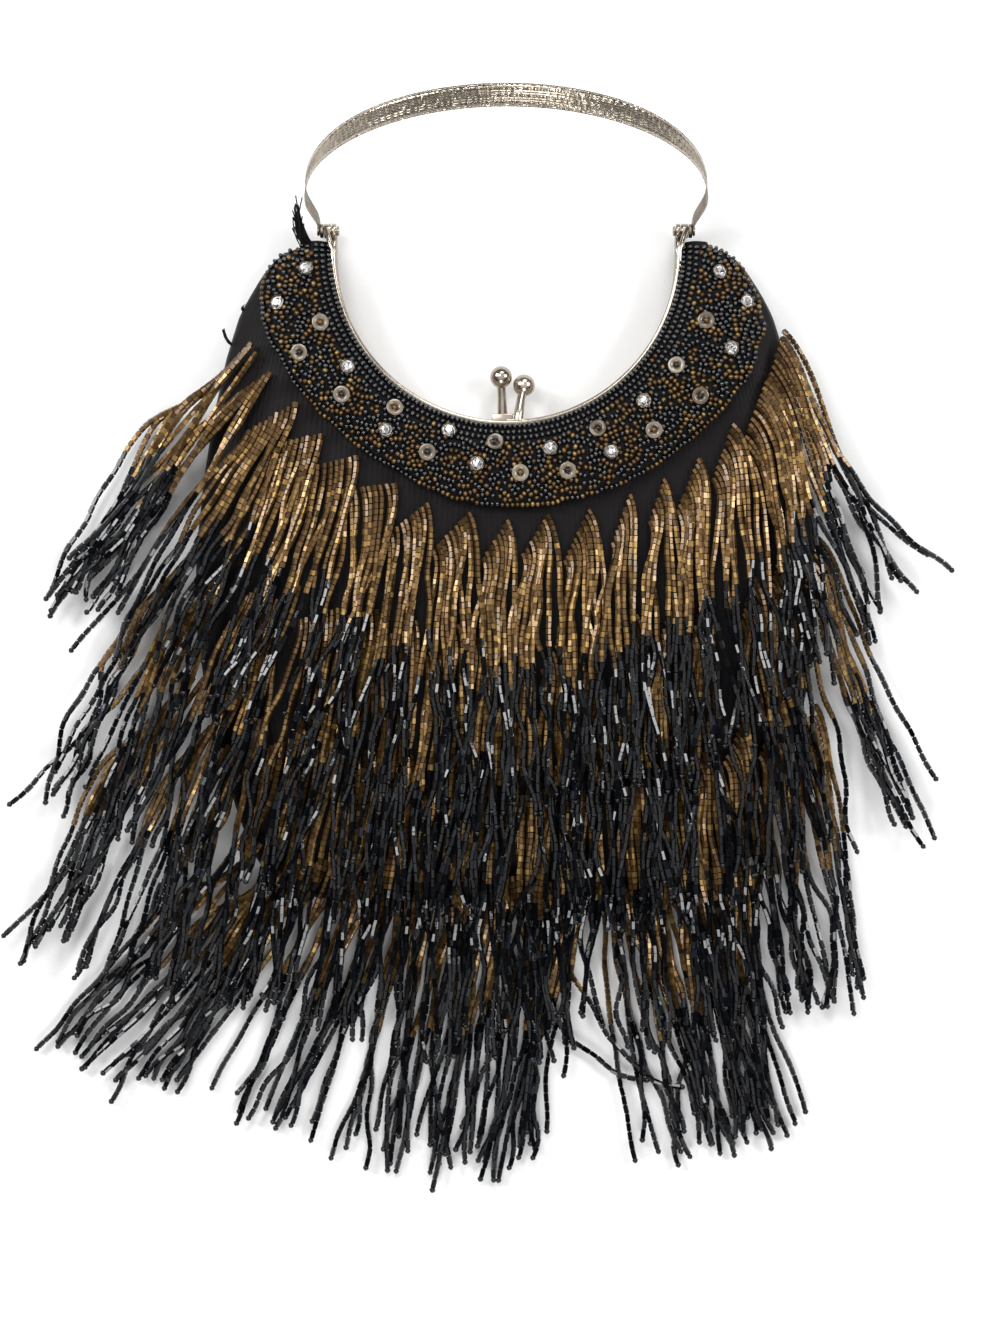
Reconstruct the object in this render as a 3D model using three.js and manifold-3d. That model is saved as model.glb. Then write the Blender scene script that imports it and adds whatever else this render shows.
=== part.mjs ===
// Beaded evening purse lying on its back: millimetres, +Z up, +Y towards the handle.
// The origin is on the flat back of the bag, under its middle.
import * as THREE from 'three';
import { mergeVertices } from 'three/addons/utils/BufferGeometryUtils.js';
import Module from 'manifold-3d';

const wasm = await Module();
wasm.setup();

// Clearances between touching pieces
const seatGap = 0.3;
const overlapForJoin = 0.2;
const cutPast = 1;

// U-shaped frame: two halves that meet at the parting plane
const frameInnerRadius = 61.5;
const frameCentreY = 133;
const rimWidth = 1.5;
const partingHeight = 9.15;
const partingGap = 0.3;
const frontHalfDepth = 8.5;
const backHalfDepth = 7.8;
const armRise = 8;
const armFlare = 2.8;
const flangeWidth = 3;
const flangeThickness = 1;
const flangeHalfAngle = 70;
const arcSteps = 24;

// Hinges at the ends of the frame
const pinRadius = 0.8;
const pinHeadRadius = 1.8;
const pinHeadLength = 0.8;
const knuckleRadius = 2.6;
const roundSides = 12;

// Ball knobs of the clasp
const ballRadius = 4;
const stemRadius = 1.45;
const knobFootWidth = 8;
const knobFootHeight = 2.4;
const knobFootDepth = 4;
const backBall = { x: -1.8, aboveRim: 16.6 };
const frontBall = { x: 6.5, aboveRim: 13.6 };
const backFootX = -1.1;
const frontFootX = 4.2;
const stemBendAt = 0.45;
const frontStemBend = 0.6;
const backStemBend = -0.3;

// Handle: an embossed band bent to an arch
const handleLift = 60;
const bandThickness = 1.2;
const bandEndWidth = 5;
const bandTopWidth = 9.6;
const bandFullAt = 0.9;
const bandRim = 0.5;
const bandRimWidth = 1.1;
const archHeight = 70;
const archHalfWidth = 70.6;
const archWidestAt = 20;
const straightEnd = 3;
const bossCount = 21;
const bossHeight = 0.5;
const bossLength = 4.6;
const bossWidth = 3.4;
const bossTop = 0.35;
const bossMargin = 0.09;

// Bag
const bagHalfWidth = 113;
const bagThickness = 16.5;
const bagWall = 1.5;
const hemY = -102.6;

// Padded yoke
const yokeWidth = 31;
const yokeThickness = 5.5;
const yokeSink = 1.5;
const yokeAngleStep = 6.7;

// Stones and sequins
const stoneRadius = 2.65;
const stoneHeight = 2.7;
const sequinRadius = 3;
const sequinBeadRadius = 1.1;
const sequinHeight = 1.9;

// Fringe
const lockLength = 99;
const lockPitch = 15.5;
const lockWidth = 13.9;
const lockThickness = 2.2;
const lockEdge = 0.1;
const lockLengthVariation = 0.05;
const lockPhaseStep = 2.4;
const leanPower = 1.6;
const headerWidth = 5;
const headerThickness = 2;
const headerClearance = 0.8;
const rowDrop = 43.5;
const layerStep = 3.2;
const hemRowInset = 6.5;
const hemCornerRise = 11;
const hemCornerPower = 6;
const headerEnd = 1.03;
const drapeInside = 14;
const drapeOutside = 30;
const drapeAtHem = 0.85;

const hingeY = frameCentreY + armRise;
const frontRimTop = partingHeight + partingGap / 2 + frontHalfDepth;
const backRimBottom = partingHeight - partingGap / 2 - backHalfDepth;
const rimOuterRadius = frameInnerRadius + rimWidth;
const mouthOffset = rimWidth + seatGap;
const hornTopY = hingeY - knuckleRadius - 0.5;
const bagLength = hornTopY - hemY;

// Bag sections from the hem to the tops of the horns, as shares of its length, half width and thickness
const bagStations = [
  { at: 0, width: 0.53, height: 0.35 },
  { at: 0.011, width: 0.67, height: 0.5 },
  { at: 0.032, width: 0.75, height: 0.62 },
  { at: 0.065, width: 0.805, height: 0.72 },
  { at: 0.127, width: 0.86, height: 0.8 },
  { at: 0.219, width: 0.92, height: 0.86 },
  { at: 0.323, width: 0.97, height: 0.92 },
  { at: 0.427, width: 1, height: 0.96 },
  { at: 0.53, width: 0.997, height: 1 },
  { at: 0.635, width: 0.975, height: 1 },
  { at: 0.738, width: 0.94, height: 1 },
  { at: 0.822, width: 0.9, height: 1 },
  { at: 0.884, width: 0.86, height: 1 },
  { at: 0.9255, width: 0.825, height: 0.98 },
  { at: 0.959, width: 0.79, height: 0.92 },
  { at: 0.98, width: 0.755, height: 0.82 },
  { at: 0.994, width: 0.72, height: 0.65 },
  { at: 1, width: 0.68, height: 0.4 },
];

// Right side of a bag section, from the back to the front, as shares of its half width and height
const bagSide = [
  { across: 0.88, up: 0 },
  { across: 0.955, up: 0.06 },
  { across: 0.99, up: 0.22 },
  { across: 1, up: 0.42 },
  { across: 0.985, up: 0.62 },
  { across: 0.945, up: 0.8 },
  { across: 0.88, up: 0.92 },
  { across: 0.79, up: 0.985 },
  { across: 0.66, up: 1 },
];

// Outer edge of the yoke: degrees from straight down, and the share of its width
const yokeEdge = [
  { angle: -94, width: 0.42 },
  { angle: -90, width: 0.66 },
  { angle: -85, width: 0.8 },
  { angle: -79, width: 0.98 },
  { angle: -69, width: 0.95 },
  { angle: -57, width: 0.93 },
  { angle: -44, width: 0.87 },
  { angle: -30, width: 0.88 },
  { angle: -25, width: 0.86 },
  { angle: -18, width: 0.93 },
  { angle: 2, width: 0.98 },
  { angle: 16, width: 1 },
  { angle: 25, width: 1.05 },
  { angle: 44, width: 1.09 },
  { angle: 55, width: 1.17 },
  { angle: 63, width: 1.19 },
  { angle: 70, width: 1.15 },
  { angle: 75, width: 1.16 },
  { angle: 80, width: 0.97 },
  { angle: 85, width: 0.8 },
  { angle: 90, width: 0.62 },
  { angle: 94, width: 0.42 },
];

// Padding across the yoke, from the frame to the outer edge
const yokePadding = [
  { across: 0, up: 0.3 },
  { across: 0.08, up: 0.55 },
  { across: 0.22, up: 0.85 },
  { across: 0.42, up: 1 },
  { across: 0.62, up: 0.97 },
  { across: 0.82, up: 0.75 },
  { across: 0.94, up: 0.45 },
  { across: 1, up: 0.15 },
];

// Places on the yoke: degrees from straight down, and the share across its width
const stonePlaces = [
  { angle: -83.9, across: 0.34 },
  { angle: -76.4, across: 0.68 },
  { angle: -53, across: 0.28 },
  { angle: -33.3, across: 0.54 },
  { angle: -17.4, across: 0.2 },
  { angle: -7.7, across: 0.5 },
  { angle: 12.3, across: 0.34 },
  { angle: 27.1, across: 0.57 },
  { angle: 41.7, across: 0.32 },
  { angle: 65.8, across: 0.67 },
  { angle: 77.3, across: 0.73 },
  { angle: 83.3, across: 0.5 },
];
const sequinPlaces = [
  { angle: -67.9, across: 0.29 },
  { angle: -63, across: 0.66 },
  { angle: -48.1, across: 0.56 },
  { angle: -34.8, across: 0.25 },
  { angle: -21, across: 0.54 },
  { angle: -3.3, across: 0.22 },
  { angle: 3.6, across: 0.57 },
  { angle: 15.4, across: 0.62 },
  { angle: 26.8, across: 0.29 },
  { angle: 38.9, across: 0.61 },
  { angle: 52.5, across: 0.66 },
  { angle: 55.2, across: 0.3 },
  { angle: 69.8, across: 0.36 },
];

// Rows of fringe. The first follows the yoke's edge between two angles. The next two run on arcs about the
// frame's centre, a number of row drops below the first at their middle and ends, and reach a share of the
// bag's half width. The last follows the hem. Leans are those of the end locks, in degrees
const yokeRow = { left: -72, right: 74, leanLeft: 27, leanRight: 18, climb: 1 };
const secondRow = { middle: 1, ends: 1.2, reach: 1, leanLeft: 19, leanRight: 12, climb: 1 };
const thirdRow = { middle: 2, ends: 2.02, reach: 1.01, leanLeft: 17, leanRight: 9, climb: 1 };
const hemRow = { reach: 0.76, leanLeft: 33, leanRight: 24, climb: 0 };
const fringeRows = [yokeRow, secondRow, thirdRow, hemRow];

// A lock from its root to its tip: shares of its length, width and thickness, and its lean at the root
const lockSections = [
  { along: 0, width: 0.12, thick: 0.7, shift: 0.42 },
  { along: 0.07, width: 0.6, thick: 1, shift: 0.2 },
  { along: 0.17, width: 1, thick: 1, shift: 0.04 },
  { along: 0.33, width: 1, thick: 1, shift: 0 },
  { along: 0.5, width: 0.97, thick: 1, shift: 0 },
  { along: 0.67, width: 0.92, thick: 1, shift: 0 },
  { along: 0.84, width: 0.85, thick: 0.9, shift: 0 },
  { along: 1, width: 0.4, thick: 0.6, shift: 0 },
];

// Single strands that stray from the rows: which row, share along it, lean, and shares of a lock's sizes
const strayStrands = [
  { row: 2, at: -1, lean: 47, length: 0.93, width: 0.25 },
  { row: 2, at: 1, lean: 40, length: 0.8, width: 0.25 },
  { row: 3, at: -0.98, lean: 46, length: 0.8, width: 0.3 },
];

// Colours and finishes
const finishes = {
  frame: { color: 0xcfc6b6, metalness: 1, roughness: 0.28 },
  handle: { color: 0xd8cdb8, metalness: 1, roughness: 0.32 },
  satin: { color: 0x17181b, metalness: 0, roughness: 0.5 },
  yoke: { color: 0x24201c, metalness: 0.1, roughness: 0.35 },
  stone: { color: 0xdfe6ea, metalness: 0.2, roughness: 0.05 },
  sequin: { color: 0xb9a98c, metalness: 0.3, roughness: 0.15 },
  fringe: { color: 0x3a3026, metalness: 0.3, roughness: 0.3 },
};

const toRadians = THREE.MathUtils.degToRad;

// Value between the rows of a table, read from one column by another
function interpolate(table, key, at, column) {
  const first = table[0];
  const last = table[table.length - 1];
  if (at <= first[key]) return first[column];
  if (at >= last[key]) return last[column];
  const upper = table.findIndex((row) => row[key] >= at);
  const low = table[upper - 1];
  const high = table[upper];
  return THREE.MathUtils.mapLinear(at, low[key], high[key], low[column], high[column]);
}

// Volume inside a closed mesh, negative where its faces point in
function signedVolume(points, indices) {
  let sum = 0;
  for (let corner = 0; corner < indices.length; corner += 3) {
    const [a, b, c] = [0, 1, 2].map((step) => points[indices[corner + step]]);
    sum += a.dot(b.clone().cross(c));
  }
  return sum / 6;
}

// Closed body through rings with equal numbers of points
function loft(rings) {
  const size = rings[0].length;
  const points = rings.flat();
  const indices = [];
  for (let ring = 0; ring < rings.length - 1; ring += 1) {
    for (let side = 0; side < size; side += 1) {
      const a = ring * size + side;
      const b = ring * size + ((side + 1) % size);
      indices.push(a, b, a + size, b, b + size, a + size);
    }
  }
  const endStart = (rings.length - 1) * size;
  for (let side = 1; side < size - 1; side += 1) {
    indices.push(0, side + 1, side);
    indices.push(endStart, endStart + side, endStart + side + 1);
  }
  if (signedVolume(points, indices) < 0) indices.reverse();
  const geometry = new THREE.BufferGeometry();
  const positions = points.flatMap((point) => point.toArray());
  geometry.setAttribute('position', new THREE.Float32BufferAttribute(positions, 3));
  geometry.setIndex(indices);
  return geometry;
}

function solidOf(geometry) {
  const bare = geometry.clone();
  bare.deleteAttribute('normal');
  bare.deleteAttribute('uv');
  const merged = mergeVertices(bare, 1e-4);
  const vertProperties = new Float32Array(merged.attributes.position.array);
  const triVerts = new Uint32Array(merged.index.array);
  return new wasm.Manifold(new wasm.Mesh({ numProp: 3, vertProperties, triVerts }));
}

function joined(geometries) {
  return geometries.map(solidOf).reduce((whole, next) => whole.add(next));
}

function geometryOf(solid) {
  const { vertProperties, triVerts } = solid.getMesh();
  const geometry = new THREE.BufferGeometry();
  geometry.setAttribute('position', new THREE.BufferAttribute(new Float32Array(vertProperties), 3));
  geometry.setIndex(new THREE.BufferAttribute(new Uint32Array(triVerts), 1));
  const loose = geometry.toNonIndexed();
  loose.computeVertexNormals();
  return loose;
}

function namedMesh(name, geometry, finish) {
  const mesh = new THREE.Mesh(geometry, new THREE.MeshStandardMaterial(finish));
  mesh.name = name;
  return mesh;
}

// Flat outline pushed up between two heights
function slab(points, low, high) {
  const geometry = new THREE.ExtrudeGeometry(new THREE.Shape(points), {
    depth: high - low,
    bevelEnabled: false,
  });
  return geometry.translate(0, 0, low);
}

// Cylinder along X between two places
function barrel(radius, fromX, toX, y, z) {
  const low = Math.min(fromX, toX);
  const high = Math.max(fromX, toX);
  return new THREE.CylinderGeometry(radius, radius, high - low, roundSides)
    .rotateZ(Math.PI / 2)
    .translate((low + high) / 2, y, z);
}

// Point at a distance from the centre of the frame's curve, by degrees from straight down
function aroundFrame(radius, angle) {
  const turn = toRadians(angle);
  return new THREE.Vector2(radius * Math.sin(turn), frameCentreY - radius * Math.cos(turn));
}

// Line of the U at a distance outside its inner face, with its arms leaning out by a flare
function frameLine(offset, flare) {
  const radius = frameInnerRadius + offset;
  const line = [new THREE.Vector2(-radius - flare, hingeY)];
  for (let step = 0; step <= arcSteps; step += 1) {
    line.push(aroundFrame(radius, -90 + (180 * step) / arcSteps));
  }
  line.push(new THREE.Vector2(radius + flare, hingeY));
  return line;
}

function flangeOutline() {
  const inner = [];
  const outer = [];
  for (let step = 0; step <= arcSteps; step += 1) {
    const angle = THREE.MathUtils.lerp(-flangeHalfAngle, flangeHalfAngle, step / arcSteps);
    inner.push(aroundFrame(rimOuterRadius - overlapForJoin, angle));
    outer.unshift(aroundFrame(rimOuterRadius + flangeWidth, angle));
  }
  return inner.concat(outer);
}

// One half of the frame: its rim, sewing flange, two knuckles and knob
function frameHalf({ low, high, flare, flangeLow, knuckleInner, knuckleOuter, knob }) {
  const outline = frameLine(0, flare).concat(frameLine(rimWidth, flare).reverse());
  const pieces = [slab(outline, low, high)];
  pieces.push(slab(flangeOutline(), flangeLow, flangeLow + flangeThickness));
  for (const side of [-1, 1]) {
    pieces.push(barrel(knuckleRadius, side * knuckleInner, side * knuckleOuter, hingeY, partingHeight));
  }
  let solid = joined(pieces.concat(knob));
  for (const side of [-1, 1]) {
    const bore = barrel(
      pinRadius + seatGap,
      side * (frameInnerRadius - cutPast),
      side * (rimOuterRadius + armFlare + cutPast),
      hingeY,
      partingHeight,
    );
    solid = solid.subtract(solidOf(bore));
  }
  return geometryOf(solid);
}

// Ball on a stem that rises from a foot on the rim's inner face
function knobPieces({ ball, footX, footZ, footHeight, bend }) {
  const rimY = frameCentreY - frameInnerRadius;
  const centre = new THREE.Vector3(ball.x, rimY + ball.aboveRim, partingHeight);
  const root = new THREE.Vector3(footX, rimY - overlapForJoin, footZ);
  const middle = new THREE.Vector3(footX + bend, rimY + ball.aboveRim * stemBendAt, footZ);
  const curve = new THREE.QuadraticBezierCurve3(root, middle, centre);
  const section = new THREE.Shape().absarc(0, 0, stemRadius, 0, Math.PI * 2);
  const stem = new THREE.ExtrudeGeometry(section, {
    steps: 5,
    curveSegments: roundSides / 3,
    extrudePath: curve,
    bevelEnabled: false,
  });
  const foot = new THREE.BoxGeometry(knobFootWidth, footHeight, knobFootDepth).translate(
    footX,
    rimY + footHeight / 2 - overlapForJoin,
    footZ,
  );
  const round = new THREE.SphereGeometry(ballRadius, roundSides, 8)
    .rotateX(Math.PI / 2)
    .translate(centre.x, centre.y, centre.z);
  return [stem, foot, round];
}

function frameFront() {
  const low = partingHeight + partingGap / 2;
  const bagInnerTop = bagThickness - bagWall;
  return frameHalf({
    low,
    high: frontRimTop,
    flare: armFlare,
    flangeLow: bagInnerTop - seatGap - flangeThickness,
    knuckleInner: rimOuterRadius + seatGap,
    knuckleOuter: rimOuterRadius + armFlare,
    knob: knobPieces({
      ball: frontBall,
      footX: frontFootX,
      footZ: low + frontHalfDepth / 2,
      footHeight: knobFootHeight / 2,
      bend: frontStemBend,
    }),
  });
}

function frameBack() {
  return frameHalf({
    low: backRimBottom,
    high: partingHeight - partingGap / 2,
    flare: 0,
    flangeLow: bagWall + seatGap,
    knuckleInner: frameInnerRadius,
    knuckleOuter: rimOuterRadius,
    knob: knobPieces({
      ball: backBall,
      footX: backFootX,
      footZ: backRimBottom + backHalfDepth / 2,
      footHeight: knobFootHeight,
      bend: backStemBend,
    }),
  });
}

// Inner face of the handle's eye, just outside the front half's knuckle
const eyeInnerX = rimOuterRadius + armFlare + seatGap;
const eyeOuterX = eyeInnerX + bandThickness;

function hingePin(side) {
  const innerHead = frameInnerRadius - seatGap;
  const outerHead = eyeOuterX + seatGap;
  const shankInner = innerHead - overlapForJoin;
  const shankOuter = outerHead + overlapForJoin;
  const shank = barrel(pinRadius, side * shankInner, side * shankOuter, hingeY, partingHeight);
  const heads = [
    barrel(pinHeadRadius, side * (innerHead - pinHeadLength), side * innerHead, hingeY, partingHeight),
    barrel(pinHeadRadius, side * outerHead, side * (outerHead + pinHeadLength), hingeY, partingHeight),
  ];
  return geometryOf(joined([shank, ...heads]));
}

// Middle line of the handle's band in its own plane: X across, Y away from the pins
function archCurve() {
  const endX = (eyeInnerX + eyeOuterX) / 2;
  const half = [new THREE.Vector2(endX, 0), new THREE.Vector2(endX, straightEnd)];
  const swell = archHalfWidth - endX;
  for (const share of [0.35, 0.65, 0.9]) {
    const y = THREE.MathUtils.lerp(straightEnd, archWidestAt, share);
    half.push(new THREE.Vector2(endX + swell * Math.sin((share * Math.PI) / 2) ** 2, y));
  }
  const topSteps = 8;
  for (let step = 0; step < topSteps; step += 1) {
    const turn = (step / topSteps) * (Math.PI / 2);
    const rise = archHeight - archWidestAt;
    half.push(new THREE.Vector2(archHalfWidth * Math.cos(turn), archWidestAt + rise * Math.sin(turn)));
  }
  const otherHalf = half.map((point) => new THREE.Vector2(-point.x, point.y)).reverse();
  return [...half, new THREE.Vector2(0, archHeight), ...otherHalf];
}

function bandWidthAt(height) {
  const share = THREE.MathUtils.smoothstep(height, 0, archHeight * bandFullAt);
  return THREE.MathUtils.lerp(bandEndWidth, bandTopWidth, share);
}

// Section of the band at a point of the arch: raised rims on its outer face
function bandSection(point, outward, width) {
  const grow = Math.min(1, point.y / archWidestAt);
  const face = bandThickness / 2;
  const rim = face + bandRim * grow;
  const half = width / 2;
  const rimStart = half - bandRimWidth;
  const corners = [
    [-face, -half],
    [-face, half],
    [rim, half],
    [rim, rimStart],
    [face, rimStart - bandRim],
    [face, -rimStart + bandRim],
    [rim, -rimStart],
    [rim, -half],
  ];
  return corners.map(
    ([out, across]) => new THREE.Vector3(point.x + outward.x * out, point.y + outward.y * out, across),
  );
}

// Outward direction of the arch at each of its points
function archOutward(line, index) {
  const before = line[Math.max(0, index - 1)];
  const after = line[Math.min(line.length - 1, index + 1)];
  const along = after.clone().sub(before).normalize();
  return new THREE.Vector2(along.y, -along.x);
}

// Raised lozenges of the embossing, along the middle of the band
function bandBosses(line) {
  const curve = new THREE.CatmullRomCurve3(line.map((point) => new THREE.Vector3(point.x, point.y, 0)));
  const bosses = [];
  for (let index = 0; index < bossCount; index += 1) {
    const share = THREE.MathUtils.lerp(bossMargin, 1 - bossMargin, index / (bossCount - 1));
    const place = curve.getPointAt(share);
    const along = curve.getTangentAt(share);
    const tall = bossHeight + bandThickness / 2;
    const boss = new THREE.CylinderGeometry(bossTop, 1, tall, 4)
      .translate(0, tall / 2, 0)
      .scale(bossLength / 2, 1, bossWidth / 2);
    const outward = new THREE.Vector3(along.y, -along.x, 0);
    const basis = new THREE.Matrix4().makeBasis(along.clone().negate(), outward, new THREE.Vector3(0, 0, 1));
    basis.setPosition(place);
    if (basis.determinant() < 0) basis.scale(new THREE.Vector3(-1, 1, 1));
    bosses.push(boss.applyMatrix4(basis));
  }
  return bosses;
}

function handleGeometry() {
  const line = archCurve();
  const rings = line.map((point, index) =>
    bandSection(point, archOutward(line, index), bandWidthAt(point.y)),
  );
  const eyes = [-1, 1].map((side) => barrel(bandEndWidth / 2, side * eyeInnerX, side * eyeOuterX, 0, 0));
  let solid = joined([loft(rings), ...eyes, ...bandBosses(line)]);
  for (const side of [-1, 1]) {
    const hole = barrel(pinRadius + seatGap, side * (eyeInnerX - cutPast), side * (eyeOuterX + cutPast), 0, 0);
    solid = solid.subtract(solidOf(hole));
  }
  return geometryOf(solid);
}

// Bag form, grown or shrunk all round by an amount
function bagForm(grow) {
  const rings = bagStations.map((station) => {
    const y = THREE.MathUtils.lerp(hemY - grow, hornTopY + grow, station.at);
    const halfWidth = bagHalfWidth * station.width + grow;
    const height = bagThickness * station.height + 2 * grow;
    const right = bagSide.map((side) => [side.across * halfWidth, side.up * height - grow]);
    const left = right.map(([x, z]) => [-x, z]).reverse();
    return [...right, ...left].map(([x, z]) => new THREE.Vector3(x, y, z));
  });
  return loft(rings);
}

// Height of the bag's front at a place
function bagFrontAt(x, y) {
  const at = THREE.MathUtils.clamp((y - hemY) / bagLength, 0, 1);
  const halfWidth = bagHalfWidth * interpolate(bagStations, 'at', at, 'width');
  const height = bagThickness * interpolate(bagStations, 'at', at, 'height');
  const front = bagSide.filter((side) => side.up >= 0.42).reverse();
  return height * interpolate(front, 'across', Math.abs(x) / halfWidth, 'up');
}

// Space inside the frame's outer face, which the bag and the yoke leave free
function mouthSpace() {
  const past = 30;
  const line = frameLine(mouthOffset, armFlare);
  line.unshift(line[0].clone().add(new THREE.Vector2(0, past)));
  line.push(line[line.length - 1].clone().add(new THREE.Vector2(0, past)));
  return solidOf(slab(line, -past, past + bagThickness));
}

function bagBody() {
  const walls = solidOf(bagForm(0)).subtract(solidOf(bagForm(-bagWall)));
  return geometryOf(walls.subtract(mouthSpace()));
}

const yokeInnerRadius = rimOuterRadius + seatGap;

function yokeOuterRadius(angle) {
  return yokeInnerRadius + yokeWidth * interpolate(yokeEdge, 'angle', angle, 'width');
}

// Point of the yoke's padded front
function yokeFrontAt(angle, across) {
  const radius = THREE.MathUtils.lerp(yokeInnerRadius, yokeOuterRadius(angle), across);
  const place = aroundFrame(radius, angle);
  const padding = interpolate(yokePadding, 'across', across, 'up') * yokeThickness;
  return new THREE.Vector3(place.x, place.y, bagFrontAt(place.x, place.y) + seatGap + padding);
}

function yokeRing(angle) {
  const front = yokePadding.map(({ across }) => yokeFrontAt(angle, across));
  const under = [front[front.length - 1], front[0]].map((point) => {
    return new THREE.Vector3(point.x, point.y, bagFrontAt(point.x, point.y) - yokeSink);
  });
  const inward = aroundFrame(frameInnerRadius, angle);
  front[0].set(inward.x, inward.y, front[0].z);
  under[1].set(inward.x, inward.y, under[1].z);
  return [...front, ...under];
}

function yokeGeometry() {
  const first = yokeEdge[0].angle;
  const last = yokeEdge[yokeEdge.length - 1].angle;
  const steps = Math.round((last - first) / yokeAngleStep);
  const rings = [];
  for (let step = 0; step <= steps; step += 1) {
    rings.push(yokeRing(THREE.MathUtils.lerp(first, last, step / steps)));
  }
  const pad = solidOf(loft(rings));
  return geometryOf(pad.subtract(solidOf(bagForm(seatGap))).subtract(mouthSpace()));
}

// Faceted stone in a plain cup: girdle, eight crown facets and a table
function stoneGeometry() {
  const profile = [
    [0, 0],
    [1, 0],
    [1, 0.46],
    [0.88, 0.55],
    [0.5, 1],
    [0, 1],
  ].map(([out, up]) => new THREE.Vector2(out * stoneRadius, up * stoneHeight));
  return new THREE.LatheGeometry(profile, 8).rotateX(Math.PI / 2);
}

// Dished sequin with the small bead that holds it
function sequinGeometry() {
  const bead = sequinBeadRadius / sequinRadius;
  const profile = [
    [0, 0],
    [1, 0.45],
    [1, 0.63],
    [bead, 0.3],
    [bead, 0.75],
    [0, 1],
  ].map(([out, up]) => new THREE.Vector2(out * sequinRadius, up * sequinHeight));
  return new THREE.LatheGeometry(profile, 8).rotateX(Math.PI / 2);
}

// Piece seated on the yoke, square to its surface
function onYoke(mesh, { angle, across }) {
  const reach = 0.04;
  const turn = 2;
  const along = yokeFrontAt(angle + turn, across).sub(yokeFrontAt(angle - turn, across));
  const outward = yokeFrontAt(angle, across + reach).sub(yokeFrontAt(angle, across - reach));
  const normal = outward.cross(along).normalize();
  mesh.position.copy(yokeFrontAt(angle, across)).addScaledVector(normal, seatGap);
  mesh.quaternion.setFromUnitVectors(new THREE.Vector3(0, 0, 1), normal);
  return mesh;
}

// Outline of the bag from above, for the way the fringe drapes past it
const bagOutline = (() => {
  const right = bagStations.map(
    ({ at, width }) => new THREE.Vector2(bagHalfWidth * width, hemY + bagLength * at),
  );
  const left = right.map((point) => new THREE.Vector2(-point.x, point.y)).reverse();
  return [...right, ...left];
})();

// Distance outside the bag's outline, negative inside
function outsideBag(x, y) {
  const place = new THREE.Vector3(x, y, 0);
  const nearest = new THREE.Vector3();
  let distance = Infinity;
  let inside = false;
  bagOutline.forEach((from, index) => {
    const to = bagOutline[(index + 1) % bagOutline.length];
    const edge = new THREE.Line3(new THREE.Vector3(from.x, from.y, 0), new THREE.Vector3(to.x, to.y, 0));
    edge.closestPointToPoint(place, true, nearest);
    distance = Math.min(distance, nearest.distanceTo(place));
    const crosses = from.y > y !== to.y > y;
    if (crosses && x < from.x + ((y - from.y) * (to.x - from.x)) / (to.y - from.y)) inside = !inside;
  });
  return inside ? -distance : distance;
}

// Surface that the fringe drapes over: the bag's front, then down to the surface it lies on
function drapeAt(x, y) {
  const lengthwise = THREE.MathUtils.smoothstep(y, hemY, hemY + bagLength / 2);
  const height = bagThickness * THREE.MathUtils.lerp(drapeAtHem, 1, lengthwise);
  const share = (outsideBag(x, y) + drapeInside) / (drapeInside + drapeOutside);
  const fall = (1 + Math.cos(Math.PI * THREE.MathUtils.clamp(share, 0, 1))) / 2;
  return height * fall;
}

function layerLift(along, climb) {
  const bare = seatGap * (1 - along / lockLength) * (1 - climb);
  return bare + climb * (seatGap + (layerStep * along) / rowDrop);
}

// One lock of strands: a ridge that lies over the drape. Its peak sits beside its middle along the header,
// and it is narrower where the header runs down beside its neighbours
function lock(row, at, lean, shares) {
  const root = rowPlace(row, at);
  const tape = rowDirection(row, at);
  const direction = new THREE.Vector2(Math.sin(toRadians(lean)), -Math.cos(toRadians(lean)));
  const across = new THREE.Vector2(-direction.y, direction.x);
  const fullWidth = lockWidth * shares.width * Math.abs(tape.cross(direction));
  const rings = lockSections.map((section) => {
    const along = section.along * lockLength * shares.length;
    const width = section.width * fullWidth;
    const middle = root.clone().addScaledVector(direction, along);
    middle.addScaledVector(tape, section.shift * fullWidth);
    const corner = (offset, rise) => {
      const place = middle.clone().addScaledVector(across, offset * width);
      const height = drapeAt(place.x, place.y) + layerLift(along, row.climb) + rise;
      return new THREE.Vector3(place.x, place.y, height);
    };
    const thickness = lockThickness * section.thick;
    const edge = lockEdge * (1 - section.along);
    return [corner(0.5, edge), corner(0, thickness), corner(-0.5, edge)];
  });
  return loft(rings);
}

// Places along a row, from -1 at its left end to 1 at its right end
function rowPlace(row, at) {
  const clear = headerWidth / 2 + headerClearance;
  if (row === hemRow) {
    const rise = hemCornerRise * at ** hemCornerPower;
    return new THREE.Vector2(at * row.reach * bagHalfWidth, hemY + hemRowInset + rise);
  }
  if (row === yokeRow) {
    const angle = THREE.MathUtils.mapLinear(at, -1, 1, row.left, row.right);
    return aroundFrame(yokeOuterRadius(angle) + clear, angle);
  }
  const start = yokeInnerRadius + yokeWidth + clear;
  const endRadius = start + rowDrop * row.ends;
  const endAngle = THREE.MathUtils.radToDeg(Math.asin((row.reach * bagHalfWidth) / endRadius));
  const radius = start + rowDrop * THREE.MathUtils.lerp(row.middle, row.ends, at * at);
  return aroundFrame(radius, at * endAngle);
}

function rowLength(row) {
  const steps = 40;
  let length = 0;
  for (let step = 0; step < steps; step += 1) {
    const from = rowPlace(row, (2 * step) / steps - 1);
    length += from.distanceTo(rowPlace(row, (2 * (step + 1)) / steps - 1));
  }
  return length;
}

function rowDirection(row, at) {
  const step = 0.01;
  return rowPlace(row, at + step).sub(rowPlace(row, at - step)).normalize();
}

function rowLean(row, at) {
  return Math.sign(at) * (at < 0 ? row.leanLeft : row.leanRight) * Math.abs(at) ** leanPower;
}

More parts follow.
